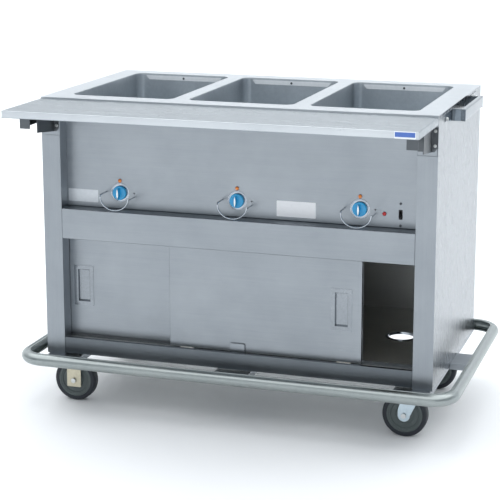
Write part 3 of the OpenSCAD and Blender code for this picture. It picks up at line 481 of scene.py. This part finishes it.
# A box with its four edges along one axis rounded, and its other edges eased
def plate(shape, low, high, axis, radius, ease):
    size, middle = high - low, (low + high) / 2
    place = Matrix.Translation(middle) @ Matrix.Diagonal((*size, 1))
    made = bmesh.ops.create_cube(shape, size=1, matrix=place)
    edges = edgesOf(made["verts"])
    along = [e for e in edges if abs((e.verts[0].co - e.verts[1].co).normalized().dot(axis)) > 0.9]
    bevelEdges(shape, along, radius, 4)
    if ease:
        bevelEdges(shape, sharpEdges(shape, 60), ease)
    return shape


wells = ["well_liner_1", "well_liner_2", "well_liner_3"]


def middleOf(node):
    low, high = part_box(node)
    return (low + high) / 2


# A face with a hole in it is cut through the hole's middle, so that every face has one outline
wellPlanes = [(middleOf(well), side) for well in wells] + [(middleOf(wells[0]), deep)]
holePlanes = [(middleOf("hose_grommet"), heading) for heading in (side, deep)]
sheetLooks = {
    "deck": (steelDeckPaintedLight, {"bend": 2.6 * mm, "cuts": wellPlanes}),
    "left_end_panel": (steelEndPaintedShade, {"bend": 2.0 * mm}),
    "right_end_panel": (steelEndPaintedShade, {"bend": 2.0 * mm}),
    "back_panel": (steelInsidePaintedLight, {}),
    "front_posts": (steelUpright, {"bend": 2.0 * mm}),
    "post_covers": (steelUpright, {"rim": 0.6 * mm}),
    "control_panel": (steelAlong, {"bend": 2.0 * mm}),
    "middle_rail": (steelAlong, {"bend": 2.2 * mm}),
    "bottom_rail": (steelBasePaintedShade, {"bend": 2.2 * mm}),
    "cabinet_floor": (steelInsidePaintedLight, {"cuts": holePlanes}),
    "door_track": (steelDark, {"bend": 0.8 * mm}),
    "door_guide_tab": (steelAlong, {"bend": 1.0 * mm}),
    # the shelf's forward faces take the lighter deck steel: painted light on its front edge
    "work_shelf": (steelShelfPaintedShade, {"bend": 3.0 * mm, "front": steelDeckPaintedLight}),
    "shelf_brackets": (steelDark, {"bend": 2.5 * mm}),
    "push_bar": (handleSteelPaintedShade, {"bend": 4.0 * mm, "steps": 5}),
    "push_bar_arms": (handleSteelPaintedShade, {"bend": 4.0 * mm, "steps": 5}),
    "base_channels": (steelAlong, {"bend": 2.5 * mm}),
    "well_trims": (steelTrim, {"rim": 0.5 * mm}),
    "rigid_caster_forks": (zincYellow, {"rim": 0.7 * mm, "bend": 2.5 * mm, "steps": 4}),
    "swivel_caster_plates": (boltZinc, {"rim": 0.7 * mm, "bend": 1.5 * mm}),
    "front_swivel_fork": (zincBlue, {"rim": 0.7 * mm, "bend": 2.5 * mm, "steps": 4}),
    "rear_swivel_fork": (zincBlue, {"rim": 0.7 * mm, "bend": 2.5 * mm, "steps": 4}),
    "front_door": (steelAlong, {"bend": 2.0 * mm}),
    "rear_door": (steelAlong, {"bend": 2.0 * mm}),
    "control_switches": (blackPlastic, {"rim": 0.8 * mm, "bend": 1.2 * mm}),
    "toggle_switch": (blackPlastic, {"rim": 0.4 * mm, "bend": 0.6 * mm}),
    "terminal_block": (blackPlastic, {"rim": 0.5 * mm, "bend": 0.9 * mm}),
    "well_insulation": (woolYellow, {"rim": 3.0 * mm, "bend": 6.0 * mm}),
    "front_door_glides": (glideNylon, {"rim": 0.5 * mm, "bend": 1.0 * mm}),
    "rear_door_glides": (glideNylon, {"rim": 0.5 * mm, "bend": 1.0 * mm}),
}
for node, (look, widths) in sheetLooks.items():
    refined(node, look, **widths)
print("sheet metal done")


wellShape = {"flange": 12 * mm, "topEdge": 1.2 * mm, "floorEdge": 18 * mm,
             "wall": 1.4 * mm, "corner": 36 * mm}


def wellLiner(node):
    low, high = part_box(node)
    shape = bmesh.new()
    size, middle = high - low, (low + high) / 2
    place = Matrix.Translation((middle.x, middle.y, high.z)) @ Matrix.Diagonal((size.x, size.y, 1, 1))
    bmesh.ops.create_grid(shape, x_segments=1, y_segments=1, size=0.5, matrix=place)
    bevelCorners(shape, list(shape.verts), wellShape["corner"], 8)
    bmesh.ops.inset_region(shape, faces=list(shape.faces), thickness=wellShape["flange"],
                           use_even_offset=True, use_boundary=True)
    centre = Vector((middle.x, middle.y, high.z))
    inner = min(shape.faces, key=lambda f: (f.calc_center_median() - centre).length)
    mouth = list(inner.edges)
    made = bmesh.ops.extrude_face_region(shape, geom=[inner])["geom"]
    floor = [g for g in made if isinstance(g, bmesh.types.BMVert)]
    bmesh.ops.translate(shape, verts=floor, vec=-up * (size.z - wellShape["wall"]))
    bmesh.ops.delete(shape, geom=[inner] if inner.is_valid else [], context="FACES_ONLY")
    bottom = [e for e in shape.edges if all(v in set(floor) for v in e.verts)]
    bevelEdges(shape, bottom, wellShape["floorEdge"], 6)
    bevelEdges(shape, [e for e in mouth if e.is_valid], wellShape["topEdge"], 3)
    bmesh.ops.recalc_face_normals(shape, faces=shape.faces)
    floorFace = min(shape.faces, key=lambda f: f.calc_center_median().z)
    if floorFace.normal.z < 0:
        bmesh.ops.reverse_faces(shape, faces=shape.faces)
    bmesh.ops.solidify(shape, geom=list(shape.faces), thickness=wellShape["wall"])
    newPiece(node + "_bowl", shape, "cabinet", linerSteel, node)


for well in wells:
    wellLiner(well)

elementShape = {"segments": 16, "turnSteps": 24}


def heatingElements(node="heating_elements"):
    shape = bmesh.new()
    for low, high in solidBoxes(node):
        radius = (high.z - low.z) / 2
        middle, arm = (low + high) / 2, (high.x - low.x) / 2 - radius
        start = Vector((middle.x - arm, low.y, middle.z))
        line = ringOfEdges(shape, start, deep, radius, elementShape["segments"])
        straight = deep * (high.y - low.y - radius - arm)
        swept(shape, line, [("go", straight),
                            ("turn", start + straight + side * arm, -up, math.pi, elementShape["turnSteps"]),
                            ("go", -straight)])
    bmesh.ops.holes_fill(shape, edges=[e for e in shape.edges if e.is_boundary], sides=0)
    bmesh.ops.recalc_face_normals(shape, faces=shape.faces)
    newPiece("element_tubes", shape, "cabinet", sheathSteel, node)


heatingElements()
print("wells done")


screwShape = {"socket": 0.42, "socketDeep": 0.55, "steps": 24}
boltShape = {"washer": 0.3, "hex": 0.92, "ease": 0.06, "steps": 24}
axleShape = {"head": 0.37, "rod": 0.31, "inset": 0.2 * mm, "ease": 0.4 * mm, "steps": 24}


# Round-headed screws with a round socket, heads towards the front
def panelScrews(node="panel_screws"):
    shape = bmesh.new()
    for low, high in solidBoxes(node):
        radius, height = (high.x - low.x) / 2, high.y - low.y
        centre = Vector(((low.x + high.x) / 2, high.y, (low.z + high.z) / 2))
        socket = radius * screwShape["socket"]
        bottom = height * (1 - screwShape["socketDeep"])
        turned(shape, [(0, 0), (radius, 0), (radius, height * 0.35), (radius * 0.8, height * 0.85),
                       (radius * 0.6, height), (socket, height), (socket * 0.9, bottom), (0, bottom)],
               centre, -deep, soft=[0, 0, height * 0.2, height * 0.15, 0.05 * mm, 0.05 * mm, 0.05 * mm, 0],
               steps=screwShape["steps"], softSteps=2)
    newPiece("panel_screw_heads", shape, "cabinet", steelDark, node)


def frameBolts(node="frame_bolts"):
    shape = bmesh.new()
    for low, high in solidBoxes(node):
        size, middle = high - low, (low + high) / 2
        thin = min(range(3), key=lambda i: size[i])
        wide = max(size)
        if thin == 0:
            foot, axis = Vector((low.x, middle.y, middle.z)), side
        elif thin == 1:
            foot, axis = Vector((middle.x, high.y, middle.z)), -deep
        else:
            foot, axis = Vector((middle.x, middle.y, high.z)), -up
        height = size[thin]
        flange = height * boltShape["washer"]
        turned(shape, [(0, 0), (wide / 2, 0), (wide / 2, flange), (0, flange)], foot, axis,
               soft=height * boltShape["ease"], steps=boltShape["steps"], softSteps=1)
        hexHead(shape, foot + axis * flange, axis, wide * boltShape["hex"], height - flange)
    newPiece("frame_bolt_heads", shape, "cabinet", boltZinc, node)


# Axle bolts: a rod with a head at one end and a nut at the other
def axleBolts(node):
    shape = bmesh.new()
    for low, high in solidBoxes(node):
        middle, across = (low + high) / 2, high.x - low.x
        ends, rod = across * axleShape["head"], across * axleShape["rod"]
        long = high.y - low.y - 2 * axleShape["inset"]
        turned(shape, [(0, 0), (rod, 0), (rod, long), (0, long)],
               Vector((middle.x, low.y + axleShape["inset"], middle.z)), deep,
               soft=axleShape["ease"], steps=axleShape["steps"], softSteps=2)
        for foot, axis in ((low.y + ends, -deep), (high.y - ends, deep)):
            hexHead(shape, Vector((middle.x, foot, middle.z)), axis, across, ends)
    newPiece(node + "_bolts", shape, bodyOf(node), boltZinc, node)


panelScrews()
frameBolts()
for node in ("rigid_caster_axles", "front_swivel_axle", "rear_swivel_axle"):
    axleBolts(node)
print("screws and bolts done")


hubShape = {
    # (radius, half width) corners from the bore out to the rim, in mm
    "steps": [(5.05, 18), (13, 18), (15.5, 15.5), (23, 14), (26, 9.5), (38, 9), (41, 12.5), (44, 13),
              (45.5, 15), (50.5, 15)],
    "soft": 0.9 * mm,
}
tyreShape = {
    # (radius, half width) corners of the tread half, in mm; the tread is slightly crowned
    "steps": [(50.5, 15.6), (53.5, 16), (60.2, 15.2), (63.1, 11.5), (63.5, 0)],
    "soft": 1.6 * mm,
}


def wheel(place, body):
    for part, looks, steps in (("hub", hubPolymer, hubShape), ("tyre", tyreRubber, tyreShape)):
        node = f"{place}_{part}"
        low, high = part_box(node)
        centre = (low + high) / 2
        half = [(r * mm, w * mm) for r, w in steps["steps"]]
        back = [(r, -w) for r, w in reversed(half) if w]
        shape = turned(bmesh.new(), half + back, centre, deep, soft=steps["soft"], steps=96, softSteps=3)
        newPiece(f"{place}_{part}_moulding", shape, body, looks, node)


for place in ("front_left", "rear_left", "front_right", "rear_right"):
    wheel(place, place + "_wheel")
print("wheels done")


bumperShape = {"corner": 80 * mm, "depth": 25 * mm, "lip": 2.4 * mm, "step": 1.7 * mm, "wall": 2.0 * mm,
               "noseSteps": 20, "cornerSteps": 20}


def bumperRail(node="bumper_rail"):
    low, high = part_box(node)
    look, middle = bumperShape, (low + high) / 2
    half, depth = (high.z - low.z) / 2, look["depth"]
    flat = depth - half
    outline = []
    # outer skin: turned-up inner lip, sunk flange, then the round nose
    for s in (1, -1):
        flange = [(0, half - 0.2 * mm), (look["lip"], half - 0.2 * mm),
                  (look["lip"] + 0.8 * mm, half - look["step"]),
                  (flat - 0.2 * mm, half - look["step"])]
        nose = [(flat + half * math.sin(a), half * math.cos(a))
                for a in (math.radians(4) + k * math.radians(86) / (look["noseSteps"] // 2)
                          for k in range(look["noseSteps"] // 2 + (1 if s > 0 else 0)))]
        part = [(u, s * z) for u, z in flange + nose]
        outline += part if s > 0 else list(reversed(part))
    inner = half - look["step"] - look["wall"]
    for s in (-1, 1):
        curve = [(flat + inner * math.sin(a), inner * math.cos(a))
                 for a in (k * math.radians(90) / 6 for k in range(7 if s < 0 else 6))]
        part = [(u, s * z) for u, z in [(0, inner)] + curve]
        outline += part if s < 0 else list(reversed(part))
    start = Vector((high.x - depth, middle.y - (high.y - low.y) / 2 + look["corner"], middle.z))
    shape = bmesh.new()
    corners = [shape.verts.new(start + side * u + up * z) for u, z in outline]
    line = [shape.edges.new((a, b)) for a, b in zip(corners, corners[1:] + corners[:1])]
    reachX = (high.x - low.x) / 2 - look["corner"]
    reachY = (high.y - low.y) / 2 - look["corner"]
    moves = []
    runs = ((deep * reachY, 1, 1), (-side * reachX, -1, 1),
            (-deep * reachY, -1, -1), (side * reachX, 1, -1))
    for vec, x, y in runs:
        centre = Vector((middle.x + x * reachX, middle.y + y * reachY, middle.z))
        moves += [("go", vec * 2), ("turn", centre, up, math.pi / 2, look["cornerSteps"])]
    swept(shape, line, moves)
    newPiece("bumper_loop", shape, "cabinet", bumperSteel, node, crease=28)


bumperRail()
print("bumper done")


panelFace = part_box("control_panel")[0].y
knobShape = {
    "skirt": 20.5 * mm, "skirtHigh": 8.6 * mm, "edge": 1.3 * mm, "gap": 1.5 * mm,
    "gripLong": 33 * mm, "gripWide": 10.5 * mm, "gripTaper": 0.88, "inlay": 0.5 * mm, "shaft": 2.95 * mm,
}


def knob(index, body):
    node, look = f"knob_{index}", knobShape
    low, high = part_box(node)
    centre = Vector(((low.x + high.x) / 2, panelFace - look["gap"], (low.z + high.z) / 2))
    tall = centre.y - low.y
    shape = bmesh.new()
    turned(shape, [(0, 0), (look["skirt"], 0), (look["skirt"], look["skirtHigh"] * 0.55),
                   (look["skirt"] - 1.2 * mm, look["skirtHigh"]), (0, look["skirtHigh"])],
           centre, -deep, soft=[0, 0.4 * mm, 0.8 * mm, look["edge"], 0], steps=72)
    turned(shape, [(0, 0), (look["shaft"], 0), (look["shaft"], high.y - centre.y), (0, high.y - centre.y)],
           centre, deep, soft=0.3 * mm, steps=20, softSteps=2)
    for name, base, top, long, wide, ease in (
            ("grip", look["skirtHigh"] - 1 * mm, tall - look["inlay"],
              look["gripLong"], look["gripWide"], 0.5 * mm),
            ("inlay", tall - look["inlay"] * 1.2, tall,
              look["gripLong"] * 0.93, look["gripWide"] * 0.86, 0.25 * mm)):
        target = shape if name == "grip" else bmesh.new()
        spot = centre - deep * base
        tips = [up * long / 2, side * wide / 2, -up * long / 2, -side * wide / 2]
        verts = [target.verts.new(spot + t) for t in tips]
        before = set(target.faces)
        target.faces.new(verts)
        bevelCorners(target, [verts[1], verts[3]], long * 0.36, 8)
        flat = [f for f in target.faces if f not in before]
        made = bmesh.ops.extrude_face_region(target, geom=flat)["geom"]
        topVerts = [g for g in made if isinstance(g, bmesh.types.BMVert)]
        bmesh.ops.translate(target, verts=topVerts, vec=-deep * (top - base))
        middle = centre - deep * top
        bmesh.ops.scale(target, verts=topVerts, vec=(look["gripTaper"], 1, look["gripTaper"]),
                        space=Matrix.Translation(-middle))
        chosen = set(topVerts)
        bevelEdges(target, [e for e in target.edges if set(e.verts) <= chosen], ease, 2)
        bmesh.ops.recalc_face_normals(target, faces=target.faces)
        if name == "inlay":
            newPiece(f"knob_{index}_inlay", target, body, knobInlay, node)
    newPiece(f"knob_{index}_body", shape, body, knobPlastic, node)


for index, body in enumerate(("knob_left", "knob_middle", "knob_right"), 1):
    knob(index, body)

dialShape = {"bore": 5 * mm, "rim": 2.6 * mm, "floor": 0.35}


def dialPlates(node="dial_plates"):
    shape = bmesh.new()
    for low, high in solidBoxes(node):
        radius, thick = (high.x - low.x) / 2, high.y - low.y
        centre = Vector(((low.x + high.x) / 2, high.y, (low.z + high.z) / 2))
        rim = dialShape["rim"]
        turned(shape, [(dialShape["bore"], 0), (radius, 0), (radius, thick * 0.6),
                       (radius - rim * 0.4, thick),
                       (radius - rim, thick), (radius - rim * 1.3, thick * dialShape["floor"]),
                       (dialShape["bore"], thick * dialShape["floor"])],
               centre, -deep, soft=[0, 0, 0.25 * mm, 0.3 * mm, 0.3 * mm, 0.1 * mm, 0.1 * mm],
               steps=72, softSteps=3)
    newPiece("dial_rings", shape, "cabinet", polishedSteel, node)


dialPlates()

guardShape = {"wire": 2.0 * mm, "bend": 6 * mm, "segments": 14, "bendSteps": 6, "hoopSteps": 36}


# Wire hoops: a leg out of the panel, down round the knob, and back into the panel
def knobGuards(node="knob_guards"):
    shape, look = bmesh.new(), guardShape
    for low, high in solidBoxes(node):
        wire, bend = look["wire"], look["bend"]
        radius = (high.x - low.x) / 2 - wire
        middle, level = (low.x + high.x) / 2, high.z - wire
        front = low.y + wire
        line = ringOfEdges(shape, Vector((middle - radius, high.y, level)), -deep, wire, look["segments"])
        bendAt = Vector((middle - radius, front + bend, level - bend))
        done = set(shape.verts)
        swept(shape, line, [
            ("go", -deep * (high.y - front - bend)),
            ("turn", bendAt, side, math.pi / 2, look["bendSteps"]),
            ("turn", Vector((middle, front, level - bend)), -deep, math.pi, look["hoopSteps"]),
            ("turn", bendAt + side * 2 * radius, side, math.pi / 2, look["bendSteps"]),
            ("go", deep * (high.y - front - bend))])
        # the hoop's lowest point stays where the CAD has it
        shrink = (level - low.z - bend) / (radius + wire)
        hoop = [v for v in shape.verts if v not in done and v.co.z < level - bend - 0.01 * mm
                and low.x - mm < v.co.x < high.x + mm]
        bmesh.ops.scale(shape, verts=hoop, vec=(1, 1, shrink),
                        space=Matrix.Translation(-Vector((middle, front, level - bend))))
    bmesh.ops.holes_fill(shape, edges=[e for e in shape.edges if e.is_boundary], sides=0)
    bmesh.ops.recalc_face_normals(shape, faces=shape.faces)
    newPiece("guard_wires", shape, "cabinet", polishedSteel, node)


knobGuards()

lampShape = {"bezel": 0.7 * mm, "bezelHigh": 2.0 * mm, "facets": 14}


def indicatorLamps(node="indicator_lamps"):
    bezels, ambers, red = bmesh.new(), bmesh.new(), bmesh.new()
    boxes = solidBoxes(node)
    for index, (low, high) in enumerate(boxes):
        radius = (high.x - low.x) / 2
        centre = Vector(((low.x + high.x) / 2, panelFace, (low.z + high.z) / 2))
        out, behind = panelFace - low.y, high.y - panelFace
        lens, collar = radius - lampShape["bezel"], lampShape["bezelHigh"]
        turned(bezels, [(lens, 0), (radius, 0), (radius, collar * 0.5),
                        (radius - 0.5 * mm, collar), (lens, collar)],
               centre, -deep, soft=0.25 * mm, steps=40, softSteps=2)
        turned(bezels, [(0, -behind), (radius - 1 * mm, -behind), (radius - 1 * mm, 0), (0, 0)],
               centre, -deep,
               soft=0.5 * mm, steps=24, softSteps=2)
        target = red if index == len(boxes) - 1 else ambers
        turned(target, [(0, 0.1 * mm), (lens, 0.1 * mm), (lens, collar), (lens * 0.86, out * 0.62),
                        (lens * 0.5, out * 0.9), (0, out)],
               centre, -deep, soft=[0, 0, 0.2 * mm, 0.5 * mm, 0.8 * mm, 0],
               steps=lampShape["facets"], softSteps=2)
    newPiece("lamp_bezels", bezels, "cabinet", polishedSteel, node)
    newPiece("lamp_jewels_amber", ambers, "cabinet", jewelAmber, node)
    newPiece("lamp_jewel_red", red, "cabinet", jewelRed, node)


indicatorLamps()

leverShape = {"tilt": 28, "pivot": 1.5 * mm, "root": 2.0 * mm,
              "neck": 2.1 * mm, "bat": 3.0 * mm, "long": 17 * mm}


def toggleLever(node="toggle_lever"):
    low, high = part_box(node)
    look = leverShape
    tilt = math.radians(look["tilt"])
    axis = Vector((0, -math.cos(tilt), -math.sin(tilt)))
    centre = Vector(((low.x + high.x) / 2, high.y - look["pivot"], high.z - look["pivot"]))
    shape = bmesh.new()
    joint = next((Vector(j["pos_m"]) for j in frame["joints"] if j["name"] == "toggle_flip"), None)
    if joint:
        centre = Vector((centre.x, joint.y, joint.z))
    turned(shape, [(0, -look["root"]), (look["neck"], -look["root"]), (look["neck"], look["long"] * 0.3),
                   (look["bat"], look["long"] * 0.72), (look["bat"] * 0.9, look["long"]), (0, look["long"])],
           centre, axis, soft=[0, 0.3 * mm, 1 * mm, 2 * mm, 1.6 * mm, 0], steps=32)
    turned(shape, [(0, low.x - centre.x), (look["pivot"], low.x - centre.x),
                   (look["pivot"], high.x - centre.x),
                   (0, high.x - centre.x)], centre, side, soft=0.2 * mm, steps=20, softSteps=1)
    newPiece("toggle_bat", shape, "toggle", blackPlastic, node)


toggleLever()


labelShape = {"corner": 2.0 * mm, "ease": 0.12 * mm,
              "sticker": {"strip": 4.4 * mm, "border": 1.4 * mm, "white": (0.80, 0.83, 0.85, 1),
                          "blue": (0.045, 0.12, 0.42, 1), "faded": (0.09, 0.18, 0.50, 1)}}


def blankLabels(node="blank_labels"):
    boxes = solidBoxes(node)
    sticker = min(boxes, key=lambda box: box[0].y)
    others = sorted((b for b in boxes if b is not sticker), key=lambda box: box[0].x)
    for name, box, look in (("name_plate_blank", others[0], labelSilver),
                            ("rating_label_blank", others[1], labelWhite),
                            ("shelf_sticker_blank", sticker, stickerFilm(*sticker, labelShape["sticker"]))):
        shape = plate(bmesh.new(), *box, deep, labelShape["corner"], labelShape["ease"])
        newPiece(name, shape, "cabinet", look, node)


blankLabels()
print("controls done")


pullShape = {"rim": 12 * mm, "deep": 9.6 * mm, "slope": (0.90, 1, 0.95), "wall": 0.9 * mm,
             "floorEdge": 1.6 * mm, "mouthEdge": 1.2 * mm}


# A flush pull: raised frame, sloping cup walls and a flat back
def doorPull(node):
    low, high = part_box(node)
    look, body = pullShape, bodyOf(node)
    middle = (low + high) / 2
    shape = bmesh.new()
    turn = Matrix.Rotation(math.pi / 2, 4, "X")
    size = Matrix.Diagonal((high.x - low.x, high.z - low.z, 1, 1))
    place = Matrix.Translation((middle.x, low.y, middle.z)) @ turn @ size
    bmesh.ops.create_grid(shape, x_segments=1, y_segments=1, size=0.5, matrix=place)
    frontFace = shape.faces[:][0]
    if frontFace.normal.y > 0:
        bmesh.ops.reverse_faces(shape, faces=[frontFace])
    bmesh.ops.inset_region(shape, faces=[frontFace], thickness=look["rim"],
                           use_even_offset=True, use_boundary=True)
    centre = Vector((middle.x, low.y, middle.z))
    inner = min(shape.faces, key=lambda f: (f.calc_center_median() - centre).length)
    mouth = list(inner.edges)
    made = bmesh.ops.extrude_face_region(shape, geom=[inner])["geom"]
    back = [g for g in made if isinstance(g, bmesh.types.BMVert)]
    bmesh.ops.delete(shape, geom=[inner] if inner.is_valid else [], context="FACES_ONLY")
    bmesh.ops.translate(shape, verts=back, vec=deep * look["deep"])
    floorSpot = centre + deep * look["deep"]
    bmesh.ops.scale(shape, verts=back, vec=look["slope"], space=Matrix.Translation(-floorSpot))
    floorEdges = [e for e in shape.edges if set(e.verts) <= set(back)]
    bevelEdges(shape, floorEdges, look["floorEdge"], 3)
    bevelEdges(shape, [e for e in mouth if e.is_valid], look["mouthEdge"], 3)
    bmesh.ops.recalc_face_normals(shape, faces=shape.faces)
    flat = min(shape.faces, key=lambda f: f.calc_center_median().y)
    if flat.normal.y > 0:
        bmesh.ops.reverse_faces(shape, faces=shape.faces)
    newPiece(node + "_cup", shape, body, steelPull, node, wall=look["wall"])


steelPull = mottled("pull steel", (0.22, 0.24, 0.26, 1), (0.33, 0.355, 0.38, 1), 0.24, scale=110)
doorPull("front_door_pull")
doorPull("rear_door_pull")
print("pulls done")


def hoseGrommet(node="hose_grommet"):
    low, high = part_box(node)
    outer, bore, wall = (high.x - low.x) / 2, 38 * mm, 2.8 * mm
    centre = Vector(((low.x + high.x) / 2, (low.y + high.y) / 2, low.z))
    tall = high.z - low.z
    shape = turned(bmesh.new(), [(bore, 0), (bore + wall, 0), (bore + wall, tall - 2 * mm),
                                 (outer, tall - 2 * mm),
                                 (outer - 0.6 * mm, tall), (bore, tall)],
                   centre, up, soft=[0.5 * mm, 0.5 * mm, 0, 0.4 * mm, 0.8 * mm, 0.8 * mm], steps=72)
    newPiece("grommet_ring", shape, "cabinet", polishedSteel, node)


glandShape = {"threads": 7, "thread": 0.5 * mm, "bore": 5.5 * mm, "head": 6 * mm}


def cordGland(node="cord_gland"):
    low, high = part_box(node)
    look, back = glandShape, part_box("back_panel")[1].y
    centre = Vector(((low.x + high.x) / 2, back, (low.z + high.z) / 2))
    barrel, out, inside = 10 * mm, high.y - back, back - low.y
    shape = bmesh.new()
    hexHead(shape, centre, deep, high.x - low.x, look["head"])
    hexHead(shape, centre - deep * 1.5 * mm, -deep, high.x - low.x, 5 * mm)
    threads = []
    pitch = (inside - 7 * mm) / look["threads"]
    for turn in range(look["threads"]):
        at = -inside + turn * pitch
        threads += [(barrel - look["thread"], at + 0.15 * pitch), (barrel, at + 0.55 * pitch)]
    turned(shape, [(look["bore"], -inside), (barrel - look["thread"], -inside)] + threads
           + [(barrel, out - 4 * mm), (barrel - 2 * mm, out), (look["bore"], out)],
           centre, deep, soft=0.1 * mm, steps=40, softSteps=1)
    newPiece("gland_body", shape, "cabinet", blackPlastic, node)


hoseGrommet()
cordGland()
print("grommet and gland done")


cameraLook = {
    "spot": (1.3365, -4.159, 1.538), "turn": 17.96, "down": 12.0,
    "lens": 112.46, "sensor": 36, "shift": (-0.0075, -0.1), "farthest": 200,
}


def makeCamera():
    look = cameraLook
    data = bpy.data.cameras.new("camera")
    data.sensor_width, data.lens = look["sensor"], look["lens"]
    data.shift_x, data.shift_y = look["shift"]
    data.clip_end = look["farthest"]
    camera = bpy.data.objects.new("camera", data)
    bpy.context.scene.collection.objects.link(camera)
    camera.location = look["spot"]
    camera.rotation_euler = (math.radians(90 - look["down"]), 0, math.radians(look["turn"]))
    bpy.context.scene.camera = camera


studioLook = {
    "world": (0.80, 0.90, 1.0, 1), "worldStrength": 0.42,
    "sun": 3.2, "sunSpread": 110, "sunTurn": 2,
    "cards": [
        # name, place, facing, width, height, brightness
        ("back card", (0, 2.5, 6.5), (0, 1, -0.9), 14, 3, 1.8),
        ("right card", (6, 1.0, 2.6), (-1, 0, -0.2), 9, 4, 0.12),
        ("front card", (0, -7, 1.7), (0, 1, -0.15), 8, 2, 0.9),
        ("left card", (-6, 1.0, 2.6), (1, 0, -0.2), 9, 4, 0.5),
    ],
    "floor": (0.90, 0.91, 0.92, 1), "floorReach": 30, "coveAt": 9, "coveBend": 3, "coveHigh": 8,
    "coveSteps": 24, "floorWear": 0.98,
}


def makeStudio():
    look = studioLook
    world = bpy.data.worlds.new("studio")
    bpy.context.scene.world = world
    world.use_nodes = True
    air = world.node_tree.nodes["Background"]
    air.inputs["Color"].default_value = look["world"]
    air.inputs["Strength"].default_value = look["worldStrength"]
    sun = bpy.data.lights.new("overhead", "SUN")
    sun.energy, sun.angle = look["sun"], math.radians(look["sunSpread"])
    lamp = bpy.data.objects.new("overhead", sun)
    lamp.rotation_euler = (0, math.radians(look["sunTurn"]), 0)
    bpy.context.scene.collection.objects.link(lamp)
    for name, place, facing, width, height, brightness in look["cards"]:
        data = bpy.data.lights.new(name, "AREA")
        data.shape, data.size, data.size_y = "RECTANGLE", width, height
        data.energy = brightness * math.pi * width * height
        card = bpy.data.objects.new(name, data)
        card.location = place
        card.rotation_euler = Vector(facing).to_track_quat("-Z", "Y").to_euler()
        card.visible_camera = False
        bpy.context.scene.collection.objects.link(card)
    shape = bmesh.new()
    ends = [shape.verts.new((x * look["floorReach"], -look["floorReach"], 0)) for x in (-1, 1)]
    line = shape.edges.new(ends)
    bend = look["coveBend"]
    swept(shape, [line], [("go", deep * (look["floorReach"] + look["coveAt"] - bend)),
                          ("turn", Vector((0, look["coveAt"] - bend, bend)),
                                   side, math.pi / 2, look["coveSteps"]),
                          ("go", up * look["coveHigh"])])
    mesh = bpy.data.meshes.new("studio_floor")
    shape.to_mesh(mesh)
    shape.free()
    mesh.shade_smooth()
    ground = bpy.data.objects.new("studio_floor", mesh)
    bpy.context.scene.collection.objects.link(ground)
    worn = (*(look["floorWear"] * c for c in look["floor"][:3]), 1)
    mesh.materials.append(finish("pale floor", lambda place: {
        "Base Color": place.noise(3, 2).blend(look["floor"], worn),
        "Roughness": place.noise(40, 2) * 0.1 + 0.75}))


makeCamera()
makeStudio()
bpy.context.scene.view_settings.view_transform = "Standard"
print("camera and studio ready")
